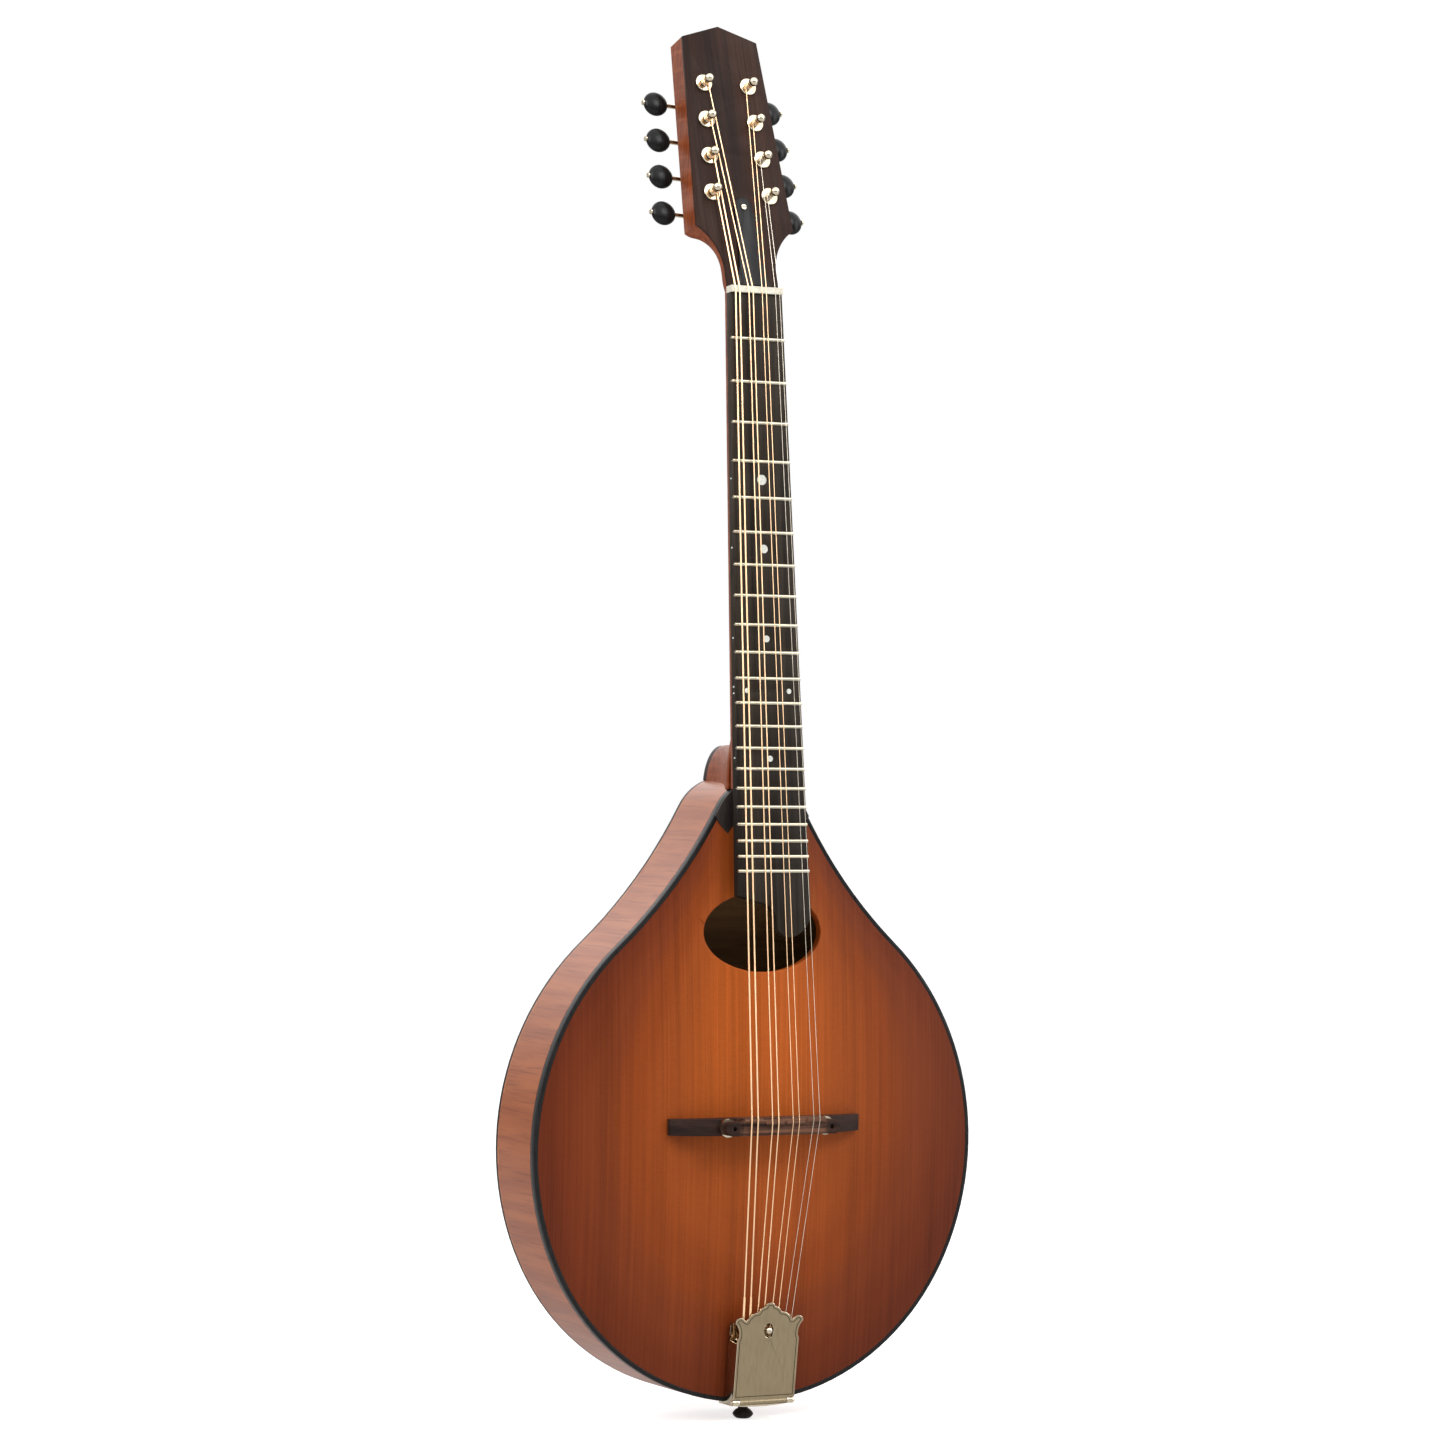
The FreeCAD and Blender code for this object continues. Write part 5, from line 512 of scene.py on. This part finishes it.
# Peghead overlay: a thin sheet of dark rosewood over the face of the peghead, with straight
# pores and brown and red streaks, oiled. The rod's nut sits under a small black cover.
def dark_rosewood(name, dark, brown, pore_scale, streak_scale, dark_from=None, fade=0.0):
    """oiled rosewood with open pores and brown streaks, darker beyond a distance to each side"""
    finish, tree, shader = new_finish(name, 0.42, shine=0.06)
    pores = figure(tree, pore_scale, detail=4.0, rough=0.65)
    streaks = figure(tree, streak_scale, detail=3.0, rough=0.6, bend=0.3)
    ground = mixed(tree, between(tree, streaks, 0.36, 0.64), paint(dark), paint(brown))
    if dark_from:
        apart = step(tree, "SeparateXYZ", {"Vector": step(tree, "TexCoord").outputs["Object"]})
        side = worked(tree, "ABSOLUTE", apart.outputs["X"], 0.0)
        ground = mixed(tree, between(tree, side, dark_from, dark_from + fade, 0.0, 0.85), ground,
                       paint(dark))
    tree.links.new(mixed(tree, between(tree, pores, 0.5, 0.72, 0.0, 0.6), ground,
                         paint("1B1413")), shader.inputs["Base Color"])
    tree.links.new(between(tree, pores, 0.3, 0.7, 0.36, 0.52), shader.inputs["Roughness"])
    relief(tree, shader, pores, 0.00003)
    return finish


overlay_rosewood = dark_rosewood("overlay_rosewood", "231916", "3B2821",
                                 (900.0, 40.0, 16.0), (85.0, 6.0, 3.0))
dressed("peghead_overlay", overlay_rosewood, easing=0.0003)
cover_black = black_stock("cover_black", "1D1C1D", 0.34)
dressed("truss_rod_cover", cover_black, easing=0.0004)


# Fingerboard and the riser that lifts it off the top: ebony with fine grey-brown streaks, oiled
# and worn dull where fingers press. Pearl dots are let in flush at its face and its bass edge.
ebony, tree, shader = new_finish("ebony", 0.46, shine=0.06)
pores = figure(tree, (1100.0, 60.0, 20.0), detail=4.0, rough=0.65)
streaks = figure(tree, (160.0, 12.0, 3.5), detail=3.0, rough=0.6)
ground = mixed(tree, between(tree, streaks, 0.36, 0.64), paint("211C18"), paint("38312A"))
tree.links.new(mixed(tree, between(tree, pores, 0.52, 0.72, 0.0, 0.6), ground, paint("141110")),
               shader.inputs["Base Color"])
wear = figure(tree, (60.0, 60.0, 14.0), detail=2.0)
tree.links.new(between(tree, wear, 0.3, 0.7, 0.38, 0.56), shader.inputs["Roughness"])
relief(tree, shader, pores, 0.00003)
dressed("fingerboard", ebony, easing=0.0003)
dressed("fingerboard_riser", ebony)
pearl, tree, shader = new_finish("pearl", 0.22)
shader.inputs["Coat Weight"].default_value = 0.5
cloud = figure(tree, (420.0, 420.0, 420.0), detail=3.0, bend=1.5)
tree.links.new(mixed(tree, between(tree, cloud, 0.35, 0.65), paint("E9E7DC"), paint("C3CBC9")),
               shader.inputs["Base Color"])
relief(tree, shader, cloud, 0.00001)
dressed("position_dots", pearl)
dressed("side_dots", pearl)


# Frets and nut: 21 crowned bars of nickel silver pressed into slots and filed round at their
# ends, and a bone nut slotted for eight strings.
fret_wire = metal("fret_wire", "B9B19E", 0.32, (60.0, 900.0, 900.0))
dressed("frets", fret_wire, crease=50.0)
bone, tree, shader = new_finish("bone", 0.35)
shader.inputs["Subsurface Weight"].default_value = 0.1
shader.inputs["Subsurface Radius"].default_value = (0.002, 0.0015, 0.001)
cloud = figure(tree, (150.0, 500.0, 500.0), detail=4.0)
tree.links.new(mixed(tree, between(tree, cloud, 0.35, 0.65), paint("DFDBCC"), paint("CFC9B6")),
               shader.inputs["Base Color"])
relief(tree, shader, cloud, 0.00002)
dressed("nut", bone, easing=0.0003)


# Tuners: nickel-plated plates screwed to the back of the peghead, posts that come up through
# flanged bushings, and worm shafts with black buttons held by a small screw at the end.
# A key's button is told from its shaft and its screw by its length.
BUTTON_LEAST = 0.012
BUTTON_MOST = 0.020
KEYS = 8
nickel = metal("nickel", "B8AD98", 0.14, (260.0, 260.0, 260.0))
dressed("tuner_plates", nickel, easing=0.0002)
dressed("post_bushings", nickel, crease=40.0)
dressed("small_screws", nickel, crease=40.0)
button_black = black_stock("button_black", "171717", 0.26)
for number in range(1, KEYS + 1):
    dressed("string_post_%d" % number, nickel, crease=40.0)
    key = dressed("tuner_key_%d" % number, nickel, crease=40.0)
    take_up(key)
    bpy.ops.object.mode_set(mode="EDIT")
    bpy.ops.mesh.select_all(action="SELECT")
    bpy.ops.mesh.separate(type="LOOSE")
    bpy.ops.object.mode_set(mode="OBJECT")
    for piece in list(bpy.context.selected_objects):
        if BUTTON_LEAST < max(piece.dimensions) < BUTTON_MOST:
            piece.name = "tuner_button_%d" % number
            piece.data.materials[0] = button_black


# Bridge: a rosewood base fitted to the top, with a saddle that stands on two steel studs and is
# set to height by two nickel wheels. The saddle is brown under the strings and dark at its ends.
SADDLE_DARK_FROM = 0.030
SADDLE_FADE = 0.004
base_rosewood = dark_rosewood("base_rosewood", "251C19", "3A2924",
                              (16.0, 300.0, 900.0), (5.0, 60.0, 160.0))
saddle_rosewood = dark_rosewood("saddle_rosewood", "261B18", "7A5543",
                                (14.0, 300.0, 800.0), (9.0, 120.0, 320.0),
                                dark_from=SADDLE_DARK_FROM, fade=SADDLE_FADE)
dressed("bridge_base", base_rosewood, easing=0.0004)
dressed("bridge_saddle", saddle_rosewood, easing=0.0002)
stud_steel = metal("stud_steel", "BDBCB7", 0.25, (400.0, 400.0, 400.0))
dressed("bridge_studs", stud_steel)
dressed("thumbwheel_bass", nickel, crease=30.0)
dressed("thumbwheel_treble", nickel, crease=30.0)


# Tailpiece: a polished cast base with eight hooks, hinged to a satin cover plate with a bright
# eased rim and a line cut round its edge, dark with tarnish and with painted shade in the groove.
# A sprung ball in the window holds the cover shut.
RIM_EASE = 0.00028
LINE_DEPTH = 0.0003
FACE_SLACK = LINE_DEPTH / 4
LINE_FLOOR = LINE_DEPTH * 1.2
TURNED_LEVEL = 0.9
satin_nickel = metal("satin_nickel", "887B63", 0.42, (700.0, 700.0, 60.0), depth=0.00001)
# dark metal for the faces of the cut line: tarnish, together with painted shade for the shade in
# the groove
tarnish = metal("tarnish", "4A4234", 0.5, (900.0, 900.0, 900.0))
dressed("tailpiece_base", nickel, easing=0.0002)
cover = dressed("tailpiece_cover", satin_nickel)
cover.data.materials.append(tarnish)
cover.data.materials.append(nickel)
broadest = max((face for face in cover.data.polygons if face.normal.y < TURNED_FRONT),
               key=lambda face: face.area)
outwards = broadest.normal.copy()
front_level = broadest.center.dot(outwards)
facing, walls = set(), set()
for face in cover.data.polygons:
    depth = front_level - face.center.dot(outwards)
    if face.normal.dot(outwards) > TURNED_LEVEL and depth < FACE_SLACK:
        facing.update(face.edge_keys)
    # faces inside the cut line take the dark finish, painted shade in the groove together with
    # tarnish
    elif 0.0 < depth < LINE_FLOOR:
        face.material_index = 1
    elif abs(face.normal.dot(outwards)) < TURNED_SIDEWAYS:
        face.material_index = 2
        walls.update(face.edge_keys)
round_rim(cover, facing, walls, RIM_EASE, 2, SOFT_CREASE, finish=2)
dressed("tailpiece_hinge_pin", nickel)
dressed("tailpiece_latch", nickel)
dressed("tailpiece_screws", nickel)


# End pin: turned from black stock with a round head, and pushed through the tailpiece into the
# tail block. A strap's loop closes round its neck.
dressed("end_pin", black_stock("pin_black", "2A2726", 0.34))


# Strings: four pairs. The lowest three pairs are steel wound with bronze, the highest is plain
# steel. Each runs from its loop on a hook over saddle and nut to the turns on its post.
def wound(name, colour, turns):
    """wire wrapped so many turns to the metre"""
    finish, tree, shader = new_finish(name, 0.3, metal=1.0)
    where = step(tree, "TexCoord").outputs["Object"]
    wrap = step(tree, "TexWave", {"Vector": where, "Scale": turns * 0.314, "Distortion": 0.0},
                bands_direction="Z").outputs["Fac"]
    tarnish = figure(tree, (90.0, 90.0, 40.0), detail=3.0)
    tone = worked(tree, "MULTIPLY", between(tree, wrap, 0.0, 1.0, 0.75, 1.08),
                  between(tree, tarnish, 0.3, 0.7, 0.9, 1.08))
    tree.links.new(mixed(tree, 1.0, paint(colour), tone, "MULTIPLY"),
                   shader.inputs["Base Color"])
    relief(tree, shader, wrap, 0.00002)
    return finish


bronze_wound = wound("bronze_wound", "F8CFA4", 2200.0)
for pair in ("g", "d", "a"):
    dressed("strings_" + pair, bronze_wound, crease=60.0)
plain_steel = metal("plain_steel", "DED3C2", 0.34, (300.0, 300.0, 40.0))
dressed("strings_e", plain_steel, crease=60.0)
